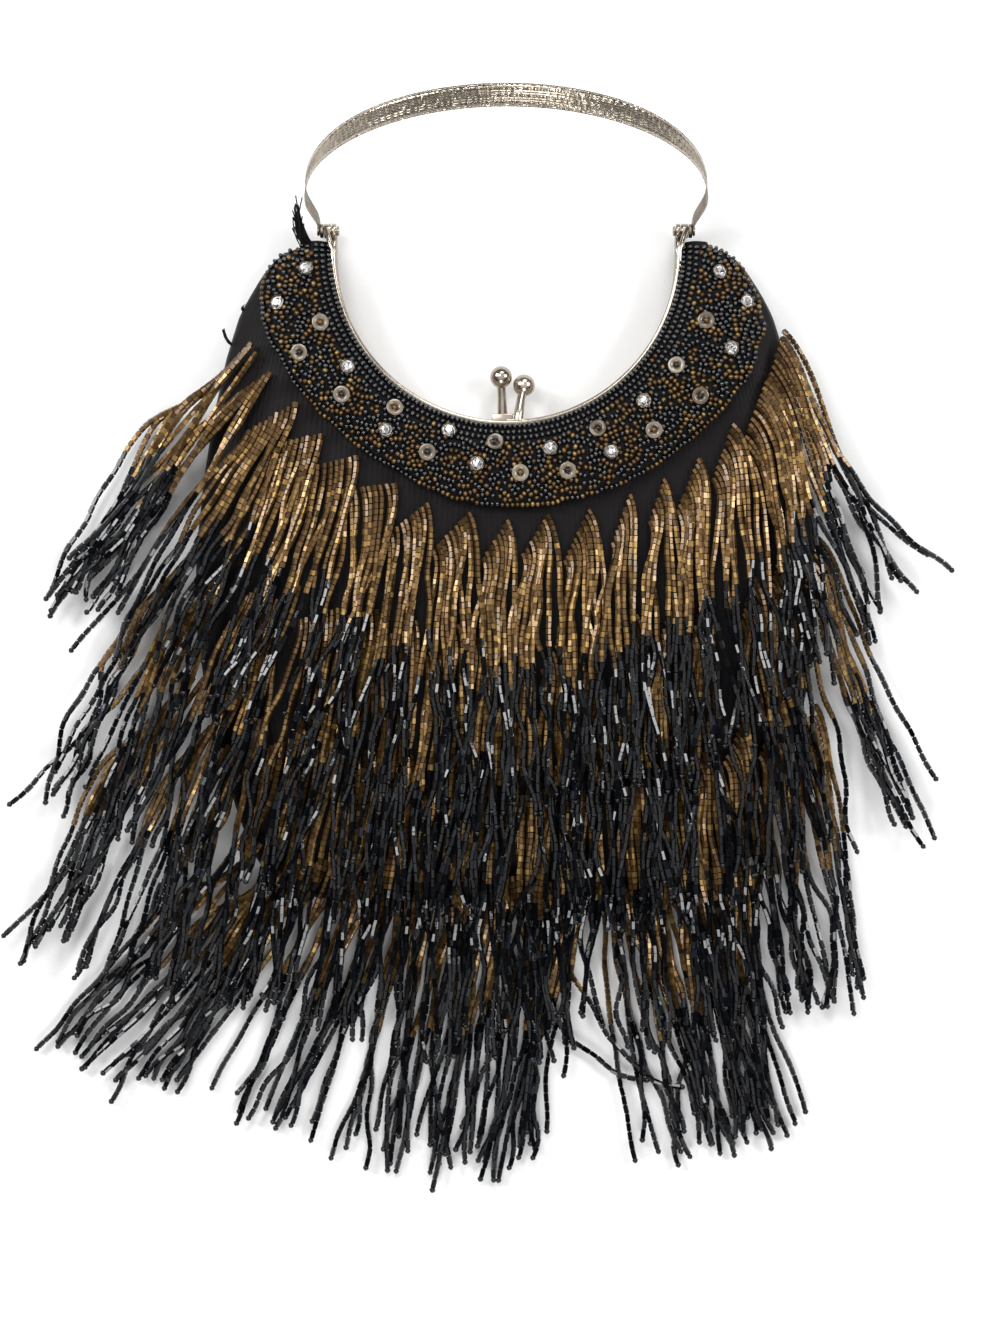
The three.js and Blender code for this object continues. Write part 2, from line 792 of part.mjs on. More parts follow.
// Header tape that carries the locks of a row
function header(row) {
  const steps = Math.ceil(rowLength(row) / lockPitch) + 2;
  const rings = [];
  for (let step = 0; step <= steps; step += 1) {
    const at = THREE.MathUtils.mapLinear(step, 0, steps, -headerEnd, headerEnd);
    const place = rowPlace(row, at);
    const along = rowDirection(row, at);
    const across = new THREE.Vector2(along.y, -along.x);
    const corner = (side, rise) => {
      const spot = place.clone().addScaledVector(across, (side * headerWidth) / 2);
      return new THREE.Vector3(spot.x, spot.y, drapeAt(spot.x, spot.y) + seatGap + rise);
    };
    const top = headerThickness;
    rings.push([corner(1, 0), corner(-1, 0), corner(-1, top), corner(1, top)]);
  }
  return loft(rings);
}

function fringeRow(row, rowNumber) {
  const pieces = [header(row)];
  const spaces = Math.round(rowLength(row) / lockPitch);
  for (let index = 0; index <= spaces; index += 1) {
    const at = (2 * index) / spaces - 1;
    const length = 1 + lockLengthVariation * Math.sin(lockPhaseStep * index + rowNumber);
    pieces.push(lock(row, at, rowLean(row, at), { length, width: 1 }));
  }
  for (const stray of strayStrands.filter((strand) => strand.row === rowNumber)) {
    pieces.push(lock(row, stray.at, Math.sign(stray.at) * stray.lean, stray));
  }
  return geometryOf(joined(pieces));
}

const purse = new THREE.Group();
purse.add(namedMesh('frame_front', frameFront(), finishes.frame));
purse.add(namedMesh('frame_back', frameBack(), finishes.frame));
purse.add(namedMesh('hinge_pin_left', hingePin(-1), finishes.frame));
purse.add(namedMesh('hinge_pin_right', hingePin(1), finishes.frame));
purse.add(namedMesh('bag_body', bagBody(), finishes.satin));
purse.add(namedMesh('yoke', yokeGeometry(), finishes.yoke));

const handlePivot = new THREE.Group();
handlePivot.position.set(0, hingeY, partingHeight);
handlePivot.rotation.x = toRadians(handleLift);
handlePivot.add(namedMesh('handle', handleGeometry(), finishes.handle));
purse.add(handlePivot);

stonePlaces.forEach((place, index) => {
  const name = `rhinestone_${String(index + 1).padStart(2, '0')}`;
  purse.add(onYoke(namedMesh(name, stoneGeometry(), finishes.stone), place));
});
sequinPlaces.forEach((place, index) => {
  const name = `sequin_${String(index + 1).padStart(2, '0')}`;
  purse.add(onYoke(namedMesh(name, sequinGeometry(), finishes.sequin), place));
});
fringeRows.forEach((row, index) => {
  purse.add(namedMesh(`fringe_row_${index + 1}`, fringeRow(row, index + 1), finishes.fringe));
});

export default purse;
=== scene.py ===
# %% [markdown]
# A beaded evening purse of the 1920s, lying on its back and seen from straight above.
# The frame, the handle and the bag's size come from the CAD model, which loads first and never changes.
# Everything that makes it look real is built here, in millimetres, and brought to metres at the end.

# %% Load the fixed frame
import math

import bmesh
import bpy
import numpy as np
from mathutils import Matrix, Vector, noise
from mathutils.bvhtree import BVHTree


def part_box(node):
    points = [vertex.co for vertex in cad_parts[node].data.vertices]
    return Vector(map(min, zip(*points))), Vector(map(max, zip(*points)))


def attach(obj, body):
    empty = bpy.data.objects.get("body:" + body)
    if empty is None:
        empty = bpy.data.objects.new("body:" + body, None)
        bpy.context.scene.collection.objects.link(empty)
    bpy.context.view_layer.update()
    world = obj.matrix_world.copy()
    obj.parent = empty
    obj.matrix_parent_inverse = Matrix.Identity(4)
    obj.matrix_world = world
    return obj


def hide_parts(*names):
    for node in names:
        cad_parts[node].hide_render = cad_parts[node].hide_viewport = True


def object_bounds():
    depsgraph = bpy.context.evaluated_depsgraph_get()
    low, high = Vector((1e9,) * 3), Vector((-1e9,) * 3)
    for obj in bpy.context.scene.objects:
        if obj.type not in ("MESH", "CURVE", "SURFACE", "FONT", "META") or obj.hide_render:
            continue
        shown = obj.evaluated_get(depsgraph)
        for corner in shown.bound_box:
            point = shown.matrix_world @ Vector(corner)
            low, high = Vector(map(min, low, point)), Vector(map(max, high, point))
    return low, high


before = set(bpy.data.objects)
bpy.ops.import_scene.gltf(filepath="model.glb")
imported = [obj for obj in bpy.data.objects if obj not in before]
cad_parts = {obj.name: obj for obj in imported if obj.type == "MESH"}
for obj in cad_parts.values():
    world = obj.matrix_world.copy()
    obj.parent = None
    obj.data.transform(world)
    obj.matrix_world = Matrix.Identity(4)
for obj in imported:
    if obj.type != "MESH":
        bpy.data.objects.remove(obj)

MM = 0.001
scene = bpy.context.scene
cad_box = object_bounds()
print("CAD box in metres:", [tuple(round(v, 4) for v in corner) for corner in cad_box])

# %% [markdown]
# Some calls come back in nearly every step, so they get short names here.
# A bmesh is a mesh that Python can edit. It becomes a plain mesh when its shape is done.

# %% Short names
def put(name, data):
    made = bpy.data.objects.new(name, data)
    scene.collection.objects.link(made)
    return made


def mesh_of(name, bm):
    mesh = bpy.data.meshes.new(name)
    bm.to_mesh(mesh)
    bm.free()
    return mesh


def shift(bm, by, verts=None):
    bmesh.ops.translate(bm, vec=by, verts=verts or bm.verts)


def rotate(bm, matrix, verts=None):
    bmesh.ops.rotate(bm, cent=(0, 0, 0), matrix=matrix, verts=verts or bm.verts)


def stretch(bm, x, y, z):
    bmesh.ops.scale(bm, vec=(x, y, z), verts=bm.verts)


def only(kind, items):
    return [item for item in items if isinstance(item, kind)]


def between(at, places, values):
    return float(np.interp(at, places, values))


VERT, EDGE, FACE = bmesh.types.BMVert, bmesh.types.BMEdge, bmesh.types.BMFace

# %% [markdown]
# The camera hangs straight over the purse, as it does in the photograph, with +Y of the purse up.
# A long lens keeps the strands at the edges from leaning.

# %% Camera
camera = put("camera", bpy.data.cameras.new("camera"))
camera.location = (-0.0022, -0.0167, 0.948)
camera.data.sensor_fit = "VERTICAL"
camera.data.sensor_height = 36
camera.data.lens = 70
scene.camera = camera

# %% [markdown]
# Glass beads show little of their own colour. What the eye sees is the lamps in them.
# A few soft lamps at the sides put a glint in each bead that faces them. The room is pale round the walls
# and dark overhead, where the camera hangs, so black glass and satin that face it stay black.

# %% Lamps and room
def lamp(name, place, size, power):
    """A soft square lamp that faces the middle of the purse."""
    light = bpy.data.lights.new(name, "AREA")
    light.size = size
    light.energy = power
    holder = put(name, light)
    holder.location = place
    holder.rotation_euler = (Vector() - Vector(place)).to_track_quat("-Z", "Y").to_euler()


lamp("lamp_left", (-0.9, 0.5, 0.9), 0.45, 9)
lamp("lamp_right", (0.95, 0.3, 0.9), 0.45, 8)
lamp("lamp_far", (0.2, 1.1, 0.9), 0.5, 7)
lamp("lamp_near", (0.0, -1.1, 0.95), 0.5, 7)
lamp("lamp_over", (-0.3, 0.42, 1.05), 0.3, 2.5)
scene.view_settings.view_transform = "Standard"

room = bpy.data.worlds.new("room")
room.use_nodes = True
sky = room.node_tree
way = sky.nodes.new("ShaderNodeTexCoord")
split = sky.nodes.new("ShaderNodeSeparateXYZ")
walls = sky.nodes.new("ShaderNodeValToRGB")
first_stop, last_stop = walls.color_ramp.elements
pale_stop, dark_stop = [walls.color_ramp.elements.new(at) for at in (0.35, 0.68)]
for stop, grey in ((first_stop, 0.36), (pale_stop, 0.33), (dark_stop, 0.05), (last_stop, 0.02)):
    stop.color = (grey * 0.98, grey * 0.99, grey, 1)
sky.links.new(way.outputs["Generated"], split.inputs["Vector"])
sky.links.new(split.outputs["Z"], walls.inputs["Fac"])
sky.links.new(walls.outputs["Color"], sky.nodes["Background"].inputs["Color"])
scene.world = room

# %% [markdown]
# Shader sums are easier to read as Python than as a web of Math nodes. This small class wraps one output
# of a node and adds a Math node for each sign in an expression. Any other node comes from one method.

# %% Materials as Python
class Wire:
    def __init__(self, finish, socket):
        self.finish = finish
        self.socket = socket

    def math(self, operation, *values):
        return self.finish.node("ShaderNodeMath", {"operation": operation}, dict(enumerate(values)))

    def __add__(self, other):
        return self.math("ADD", self, other)

    def __rsub__(self, other):
        return self.math("SUBTRACT", other, self)

    def __mul__(self, other):
        return self.math("MULTIPLY", self, other)

    __radd__ = __add__
    __rmul__ = __mul__


class Finish:
    def __init__(self, name):
        self.material = bpy.data.materials.new(name)
        self.material.use_nodes = True
        self.tree = self.material.node_tree
        self.shader = self.tree.nodes["Principled BSDF"]

    def feed(self, socket, value):
        if isinstance(value, Wire):
            self.tree.links.new(value.socket, socket)
        else:
            socket.default_value = value

    def node(self, kind, settings=None, inputs=None, output=0):
        made = self.tree.nodes.new(kind)
        for name, value in (settings or {}).items():
            if name == "stops":
                for index, (at, colour) in enumerate(value):
                    stops = made.color_ramp.elements
                    stop = stops[index] if index < 2 else stops.new(at)
                    stop.position = at
                    stop.color = (*colour, 1)
            else:
                setattr(made, name, value)
        for name, value in (inputs or {}).items():
            self.feed(made.inputs[name], value)
        return Wire(self, made.outputs[output])

    def set(self, **sockets):
        for name, value in sockets.items():
            self.feed(self.shader.inputs[name.replace("_", " ")], value)
        return self

    def place(self):
        return self.node("ShaderNodeTexCoord", output="Object")

    def along(self):
        return self.node("ShaderNodeTexCoord", output="UV")

    def attribute(self, name):
        return self.node("ShaderNodeAttribute", {"attribute_name": name}, output="Fac")

    def noise(self, scale, where=None, detail=3):
        inputs = {"Vector": where or self.place(), "Scale": scale, "Detail": detail}
        return self.node("ShaderNodeTexNoise", None, inputs)

    def ramp(self, amount, *stops):
        return self.node("ShaderNodeValToRGB", {"stops": stops}, {"Fac": amount})

    def mix(self, amount, low, high):
        low, high = [(*c, 1) if isinstance(c, tuple) else c for c in (low, high)]
        settings = {"data_type": "RGBA"}
        return self.node("ShaderNodeMix", settings, {0: amount, 6: low, 7: high}, output=2)

    def bump(self, height, depth):
        return self.node("ShaderNodeBump", None, {"Height": height, "Distance": depth * MM, "Strength": 1})


# %% [markdown]
# The floor is a sheet of pale paper, large enough to fill the view, with the faintest tooth.

# %% Floor
paper = Finish("paper")
tooth = paper.noise(900, detail=2)
paper.set(Base_Color=paper.mix(tooth, (0.84, 0.84, 0.84), (0.87, 0.87, 0.87)), Roughness=0.8)
paper.set(Normal=paper.bump(tooth, 0.05))
sheet = bmesh.new()
bmesh.ops.create_grid(sheet, x_segments=1, y_segments=1, size=3)
shift(sheet, (0, 0, cad_box[0].z - 0.0002))
floor = put("floor", mesh_of("floor", sheet))
floor.data.materials.append(paper.material)

# %% [markdown]
# Each finish keeps the colour of the real thing and varies over it.
# The frame is a warm nickel plate, a little cloudy where fingers have worn it.

# %% Metal finishes
nickel = Finish("nickel")
cloud = nickel.noise(60, detail=4)
fine = nickel.noise(900, detail=2)
nickel.set(
    Base_Color=nickel.ramp(cloud, (0.3, (0.36, 0.31, 0.26)), (0.7, (0.55, 0.49, 0.41))),
    Metallic=1.0,
    Roughness=0.16 + 0.16 * cloud,
    Normal=nickel.bump(fine, 0.02),
)

champagne = Finish("champagne_nickel")
relief = champagne.attribute("relief")
tarnish = (1 - relief) * champagne.noise(120, detail=4)
champagne.set(
    Base_Color=champagne.ramp(tarnish, (0.1, (0.44, 0.385, 0.315)), (0.6, (0.18, 0.15, 0.115))),
    Metallic=1.0,
    Roughness=0.2 + 0.25 * tarnish,
    Normal=champagne.bump(champagne.noise(1500, detail=2), 0.02),
)

# %% [markdown]
# Black satin is a weave whose floats all run one way, so it shines in broad soft streaks.
# Its pattern follows the cloth's own map, because cloth carries its weave with it.

# %% Satin
satin = Finish("black_satin")
cloth = satin.along()
stretched = satin.node("ShaderNodeMapping", None, {"Vector": cloth, "Scale": (1, 14, 1)})
slub = satin.noise(70, stretched, detail=5)
threads = satin.node(
    "ShaderNodeTexWave",
    {"wave_type": "BANDS", "bands_direction": "X"},
    {"Vector": cloth, "Scale": 160, "Distortion": 1.5, "Detail": 2},
)
satin.set(
    Base_Color=satin.mix(slub, (0.003, 0.0022, 0.0025), (0.009, 0.007, 0.007)),
    Roughness=0.36 + 0.22 * slub,
    Normal=satin.bump(threads * 0.4 + slub * 0.6, 0.14),
    Specular_IOR_Level=0.1,
    Sheen_Weight=0.02,
    Sheen_Roughness=0.4,
)

# %% [markdown]
# There are two kinds of glass bead. The black ones are near opaque and reflect hard.
# The bronze ones are amber glass with a gilt lining, so they act like a dark yellow metal.
# Each bead has its own random tone, kept as an attribute when the strands are made. On the strands the tone
# is lowered near the stitch, as painted shade at the top of each strand.

# %% Bead finishes
def black_glass(name, specular, coat):
    glass = Finish(name)
    tone = glass.attribute("tone")
    black, blue_black, worn = (0.001, 0.001, 0.0015), (0.003, 0.0035, 0.005), (0.014, 0.018, 0.026)
    return glass.set(
        Base_Color=glass.ramp(tone, (0.0, black), (0.75, blue_black), (1.0, worn)),
        Roughness=0.07 + 0.12 * tone,
        Specular_IOR_Level=specular,
        Coat_Weight=coat,
        Coat_Roughness=0.05,
        Normal=glass.bump(glass.noise(700, detail=1), 0.05),
    )


jet = black_glass("black_tube_glass", 0.3, 0.3)
jet_seed = black_glass("black_seed_glass", 0.65, 0.7)

bronze = Finish("gilt_lined_glass")
tone = bronze.attribute("tone")
shadow = bronze.noise(500, detail=1)
bronze.set(
    Base_Color=bronze.ramp(
        tone * 0.8 + shadow * 0.2,
        (0.0, (0.026, 0.012, 0.004)),
        (0.5, (0.15, 0.083, 0.027)),
        (1.0, (0.46, 0.3, 0.1)),
    ),
    Metallic=0.75,
    Roughness=0.28 + 0.16 * shadow,
    Coat_Weight=0.35,
    Coat_Roughness=0.06,
)

# %% [markdown]
# The stones are foil-backed crystal. Their flat facets each carry a painted reflection of one part of the
# room, pale or dark: a random colour from near black to near white.
# The sequins are thin plastic cups with a weak rainbow.

# %% Stones, sequins and thread
crystal = Finish("foiled_crystal")
painted_facet_reflection = crystal.attribute("tone")
# Base colour from each face's random tone is a painted reflection, from dark to pale.
crystal.set(
    Base_Color=crystal.ramp(
        painted_facet_reflection + 0.1 * crystal.noise(400, detail=1),
        (0.05, (0.04, 0.04, 0.045)),
        (0.4, (0.31, 0.3, 0.29)),
        (0.65, (0.95, 0.94, 0.92)),
    ),
    Metallic=0.6,
    Roughness=0.06,
    Coat_Weight=1.0,
    Coat_Roughness=0.02,
)
cup = Finish("sequin_plastic")
tone = cup.attribute("tone")
cup.set(
    Base_Color=cup.ramp(
        tone * 0.7 + 0.3 * cup.noise(160, detail=2),
        (0.1, (0.036, 0.024, 0.013)),
        (0.5, (0.105, 0.077, 0.05)),
        (0.9, (0.24, 0.2, 0.15)),
    ),
    Metallic=0.2,
    Roughness=0.24,
    Coat_Weight=0.5,
    Coat_Roughness=0.04,
)
cotton = Finish("black_cotton")
weave = cotton.noise(900)
cotton.set(
    Base_Color=cotton.mix(weave, (0.003, 0.003, 0.003), (0.01, 0.01, 0.012)),
    Roughness=0.9,
    Normal=cotton.bump(weave, 0.1),
    Specular_IOR_Level=0.15,
)

# %% [markdown]
# These helpers turn a shape in millimetres into a finished piece. The sizes that several steps share stand
# below them.

# %% Piece helpers
def finish_mesh(name, mesh, body, finishes, nodes=()):
    for finish in finishes:
        mesh.materials.append(finish.material)
    piece = put(name, mesh)
    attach(piece, body)
    if nodes:
        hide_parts(*nodes)
    mesh.calc_loop_triangles()
    print(f"{name}: {len(mesh.loop_triangles)} triangles")
    return piece


def finish_bmesh(name, bm, body, finishes, nodes=(), smooth=True):
    bmesh.ops.recalc_face_normals(bm, faces=bm.faces)
    stretch(bm, MM, MM, MM)
    for face in bm.faces:
        face.smooth = smooth
    finish_mesh(name, mesh_of(name, bm), body, finishes, nodes)


def around(radius, degrees):
    """Spot at a distance from the frame's centre. 0 degrees points down to the hem."""
    turn = math.radians(degrees)
    return Vector((radius * math.sin(turn), frame_centre_y - radius * math.cos(turn), 0))


frame_centre_y = 133
rim_inner = 61.5
rim_wall = 1.5
rim_outer = rim_inner + rim_wall
parting = 9.15
hinge_y = 141
arm_flare = 2.8
clearance = 0.3

# %% [markdown]
# The bag is a flattened tube of satin, gathered along the frame and closed at the hem.
# A tube of quads is bent to the bag's sections, given soft pleats where it is gathered, and then a wall.
# Its horns are drawn in by 1.5 mm, so that the handle's ends pass them.
# The mouth is cut with a drum and a block that widens to the hinges, because a boolean follows the frame.

# %% Sections of the bag
bag_half = 113
bag_thick = 16.5
hem_y = -102.6
horn_y = 137.9
bag_long = horn_y - hem_y
# The horns start at this share of the bag's length, and this many mm to the whole length draw them in
horns_from, horn_pull = 0.9, 15
pleat_depth, crumple_depth = 0.55, 0.9
section_at = np.array([0, 0.011, 0.032, 0.065, 0.127, 0.219, 0.323, 0.427, 0.53, 0.635, 0.738, 0.822,
                       0.884, 0.9255, 0.959, 0.98, 0.994, 1])
section_width = np.array([0.53, 0.67, 0.75, 0.805, 0.86, 0.92, 0.97, 1, 0.997, 0.975, 0.94, 0.9,
                          0.86, 0.815, 0.773, 0.736, 0.698, 0.655])
section_height = np.array([0.35, 0.5, 0.62, 0.72, 0.8, 0.86, 0.92, 0.96, 1, 1, 1, 1,
                           1, 0.98, 0.92, 0.82, 0.65, 0.4])
side_across = np.array([0, 0.88, 0.955, 0.99, 1, 0.985, 0.945, 0.88, 0.79, 0.66, 0])
side_up = np.array([0, 0, 0.06, 0.22, 0.42, 0.62, 0.8, 0.92, 0.985, 1, 1])
side_walk = np.array([0, 0.3, 0.34, 0.38, 0.44, 0.5, 0.56, 0.61, 0.66, 0.71, 1])


def bag_place(at, turn):
    """Place on the bag: share of its length, and turn from -1 to 1, which is 0 at the front's middle."""
    walk = 1 - abs(turn)
    across = between(walk, side_walk, side_across)
    up = between(walk, side_walk, side_up)
    half = bag_half * between(at, section_at, section_width)
    height = bag_thick * between(at, section_at, section_height)
    return Vector((math.copysign(across * half, turn), hem_y + bag_long * at, up * height))


# %% The satin bag
steps_round, steps_long = 120, 84
tube = bmesh.new()
bmesh.ops.create_grid(tube, x_segments=steps_round, y_segments=steps_long, size=1, calc_uvs=True)
map_layer = tube.loops.layers.uv.verify()
for face in tube.faces:
    for loop in face.loops:
        loop[map_layer].uv = ((loop.vert.co.x + 1) * 0.25, (loop.vert.co.y + 1) * 0.25)
for vert in tube.verts:
    turn, at = vert.co.x, (vert.co.y + 1) / 2
    place = bag_place(at, turn)
    from_frame = (Vector((place.x, place.y)) - Vector((0, frame_centre_y))).length - rim_outer
    angle = math.atan2(place.x, frame_centre_y - place.y)
    gather = math.exp(-max(0, from_frame - 25) / 22) * math.sin(46 * angle + 2 * noise.noise(place / 25))
    crumple = noise.noise(Vector((place.x / 16, place.y / 30, 3))) + 0.5 * noise.noise(place / 7)
    front = min(1, place.z / bag_thick * 1.4)
    place.z += front * (pleat_depth * gather + crumple_depth * crumple * (0.4 + 0.6 * at)) - 0.5 * front
    place.y -= horn_pull * max(0, at - horns_from)
    vert.co = place
bmesh.ops.remove_doubles(tube, verts=tube.verts, dist=0.01)
bmesh.ops.smooth_vert(tube, verts=tube.verts, factor=0.4, use_axis_x=True, use_axis_y=True, use_axis_z=True)
bmesh.ops.holes_fill(tube, edges=[edge for edge in tube.edges if edge.is_boundary])
bmesh.ops.recalc_face_normals(tube, faces=tube.faces)

mouth_radius, cut_deep, block_half = rim_outer + clearance, 80, 20
cutter = bmesh.new()
bmesh.ops.create_circle(cutter, cap_ends=True, radius=mouth_radius, segments=120)
raised = bmesh.ops.extrude_face_region(cutter, geom=cutter.faces[:])["geom"]
shift(cutter, (0, 0, cut_deep), only(VERT, raised))
shift(cutter, (0, frame_centre_y, -cut_deep / 2))
bmesh.ops.recalc_face_normals(cutter, faces=cutter.faces)
block = bmesh.new()
bmesh.ops.create_cube(block, size=1)
stretch(block, 2 * mouth_radius, 2 * block_half, cut_deep)
shift(block, (0, frame_centre_y + block_half, 0))
for vert in block.verts:
    if vert.co.y > frame_centre_y + block_half:
        vert.co.x += math.copysign(arm_flare * 5, vert.co.x)


def scratch_object(name, bm):
    stretch(bm, MM, MM, MM)
    return put(name, mesh_of(name, bm))


def baked(name, bm, modifiers):
    """A mesh with its modifiers worked in. Helper objects are removed."""
    made = scratch_object(name, bm)
    helpers = []
    for kind, settings in modifiers:
        modifier = made.modifiers.new(kind.lower(), kind)
        for key, value in settings.items():
            setattr(modifier, key, value)
            if isinstance(value, bpy.types.Object):
                helpers.append(value)
    solid = bpy.data.meshes.new_from_object(made.evaluated_get(bpy.context.evaluated_depsgraph_get()))
    solid.name = name
    for item in [made, *helpers]:
        bpy.data.objects.remove(item)
    return solid


round_cut = scratch_object("mouth_round", cutter)
block_cut = scratch_object("mouth_block", block)
bag_mesh = baked("satin_bag", tube, [
    ("SOLIDIFY", {"thickness": 0.6 * MM, "offset": -1}),
    ("BOOLEAN", {"operation": "DIFFERENCE", "object": round_cut, "solver": "EXACT"}),
    ("BOOLEAN", {"operation": "DIFFERENCE", "object": block_cut, "solver": "EXACT"}),
])
for polygon in bag_mesh.polygons:
    polygon.use_smooth = True
finish_mesh("satin_bag", bag_mesh, "purse", [satin], ["bag_body"])

# %% [markdown]
# The fringe drapes over the bag and falls to the table round its edge. One smooth height, read from the
# distance to the bag's outline, gives every strand its bed, so the beads never need a cloth simulation.

# %% Bed of the fringe
outline_y = hem_y + bag_long * section_at
outline_x = bag_half * section_width
outline = np.vstack([np.c_[outline_x, outline_y], np.c_[-outline_x, outline_y][::-1]])


def outside_bag(points):
    """Distance outside the bag's outline for rows of x, y. It is negative inside."""
    starts, ends = outline, np.roll(outline, -1, axis=0)
    distance = np.full(len(points), 1e9)
    for start, end in zip(starts, ends):
        edge = end - start
        share = np.clip(((points - start) @ edge) / (edge @ edge), 0, 1)
        nearest = start + share[:, None] * edge
        distance = np.minimum(distance, np.hypot(*(points - nearest).T))
    half = np.interp(points[:, 1], outline_y, outline_x)
    inside = (np.abs(points[:, 0]) < half) & (points[:, 1] > hem_y) & (points[:, 1] < horn_y)
    return np.where(inside, -distance, distance)


def bed_height(points):
    """Full height over the bag, from 14 mm inside its edge down to the floor 30 mm outside it."""
    length = np.clip((points[:, 1] - hem_y) / (bag_long / 2), 0, 1)
    height = bag_thick * (0.85 + 0.15 * length * length * (3 - 2 * length))
    share = np.clip((outside_bag(points) + 14) / 44, 0, 1)
    return height * (1 + np.cos(np.pi * share)) / 2


# %% [markdown]
# Gilt beads and tubes are short prisms of six sides. A strand ends in a small barrel, and the beads of the
# yoke are round. Over twenty thousand of them would be slow as objects, so each row is one mesh. The bead is
# made once with bmesh, and arrays copy it to every place with its own turn, size and tone.

# %% Bead shapes and the copier
def drum(sides, low=1, high=1, depth=1, capped=True):
    """A prism or cut cone about z, with its low and high radius."""
    made = bmesh.new()
    bmesh.ops.create_cone(made, cap_ends=capped, segments=sides, radius1=low, radius2=high, depth=depth)
    return made


def ball(steps_round, steps_up, radius):
    made = bmesh.new()
    bmesh.ops.create_uvsphere(made, u_segments=steps_round, v_segments=steps_up, radius=radius)
    return made


def bevel(bm, edges, offset, steps):
    settings = {"offset": offset, "segments": steps, "profile": 0.5, "affect": "EDGES", "material": -1}
    bmesh.ops.bevel(bm, geom=edges, **settings)


def barrel(sides=8, radius=1, depth=1, offset=0.34, steps=1):
    """A drum with its two rims rounded off. As it stands it is a bead."""
    made = drum(sides, radius, radius, depth)
    rims = [edge for edge in made.edges if abs(edge.verts[0].co.z - edge.verts[1].co.z) < 1e-6]
    bevel(made, rims, offset, steps)
    return made


def copies_mesh(name, groups):
    """One mesh of many bead copies.

    A group is a bead shape with its places, axes, sizes, tones, finish and whether it is smooth.
    """
    parts = {"co": [], "corner": [], "start": [], "finish": [], "smooth": [], "tone": []}
    vertex_count = corner_count = 0
    for shape, places, axes, sizes, tones, finish, smooth in groups:
        local = np.array([vert.co for vert in shape.verts])
        shape.verts.index_update()
        faces = [[vert.index for vert in face.verts] for face in shape.faces]
        shape.free()
        corners = np.concatenate(faces)
        starts = np.cumsum([0] + [len(face) for face in faces[:-1]])
        count = len(places)
        scaled = local[None] * sizes[:, None]
        parts["co"].append((np.einsum("bij,bvj->bvi", axes, scaled) + places[:, None]).reshape(-1, 3))
        shift = vertex_count + np.arange(count)[:, None] * len(local)
        parts["corner"].append((corners[None] + shift).ravel())
        shift = corner_count + np.arange(count)[:, None] * len(corners)
        parts["start"].append((starts[None] + shift).ravel())
        parts["finish"].append(np.full(count * len(faces), finish))
        parts["smooth"].append(np.full(count * len(faces), smooth))
        parts["tone"].append(np.repeat(tones, len(local)))
        vertex_count += count * len(local)
        corner_count += count * len(corners)
    joined = {key: np.concatenate(value) for key, value in parts.items()}
    mesh = bpy.data.meshes.new(name)
    mesh.vertices.add(vertex_count)
    mesh.vertices.foreach_set("co", (joined["co"] * MM).ravel())
    mesh.loops.add(corner_count)
    mesh.loops.foreach_set("vertex_index", joined["corner"])
    mesh.polygons.add(len(joined["start"]))
    mesh.polygons.foreach_set("loop_start", joined["start"])
    mesh.polygons.foreach_set("material_index", joined["finish"])
    mesh.polygons.foreach_set("use_smooth", joined["smooth"])
    mesh.attributes.new("tone", "FLOAT", "POINT").data.foreach_set("value", joined["tone"])
    mesh.update(calc_edges=True)
    mesh.validate()
    return mesh


def axes_along(directions, rolls):
    """Axes for beads whose hole runs along each direction, turned about it by a roll."""
    along = directions / np.linalg.norm(directions, axis=1)[:, None]
    side = np.cross(along, [0, 0, 1.0])
    side /= np.maximum(np.linalg.norm(side, axis=1), 1e-6)[:, None]
    other = np.cross(along, side)
    cos, sin = np.cos(rolls)[:, None], np.sin(rolls)[:, None]
    return np.stack([side * cos + other * sin, other * cos - side * sin, along], axis=2)


# %% [markdown]
# The strands hang in flames: six or more of them share a short slanting stitch line, highest at its peak.
# The upper part of a strand is gilt beads and the rest black tubes. Each strand is walked in small steps
# from its stitch, with a lean that follows its place in the row and a slow wander, and then it is laid on
# the bed. Rows are listed from the yoke to the hem, with each flame's peak in millimetres.

# %% Rows of fringe
chance = np.random.default_rng(1920)
GILT_LENGTH, GILT_PITCH, GILT_RADIUS = 48, 2.2, 1.06
TUBE_PITCH, TUBE_RADIUS = 3.3, 0.98
STRAND_LENGTH = 99
END_LENGTH, END_RADIUS = 1.6, 1.05
CORE_RADIUS = 0.45
BEAD_GAP = 0.28
ROOT_PITCH = 2.3
PATH_STEPS = 120
# Slope of a flame's stitch line in degrees, by the flame's place across the bag
COMB_SLANT = (-91, -76, -66, -41, -31, -14, 14, 44), (45, 33, 14, 13, 38, 46, 60, 70)

first_peaks = [(-91, 100), (-84, 90), (-76, 79), (-66, 68), (-54.5, 60), (-41, 50), (-29, 43),
               (-14, 39.5), (0, 37), (14, 38.5), (29, 40.5), (44, 46), (56, 51.5), (68.5, 59),
               (80.5, 71), (92, 86), (99, 105)]


def arc_peaks(y_middle, rise_left, rise_right, half_width, count):
    """Flame peaks along an arc that rises to both sides of the bag."""
    at = np.linspace(-1, 1, count)
    jitter = chance.normal(0, 1.2, (count, 2))
    rise = np.where(at < 0, rise_left, rise_right) * at * at
    return list(zip(half_width * at + jitter[:, 0], y_middle + rise + jitter[:, 1]))


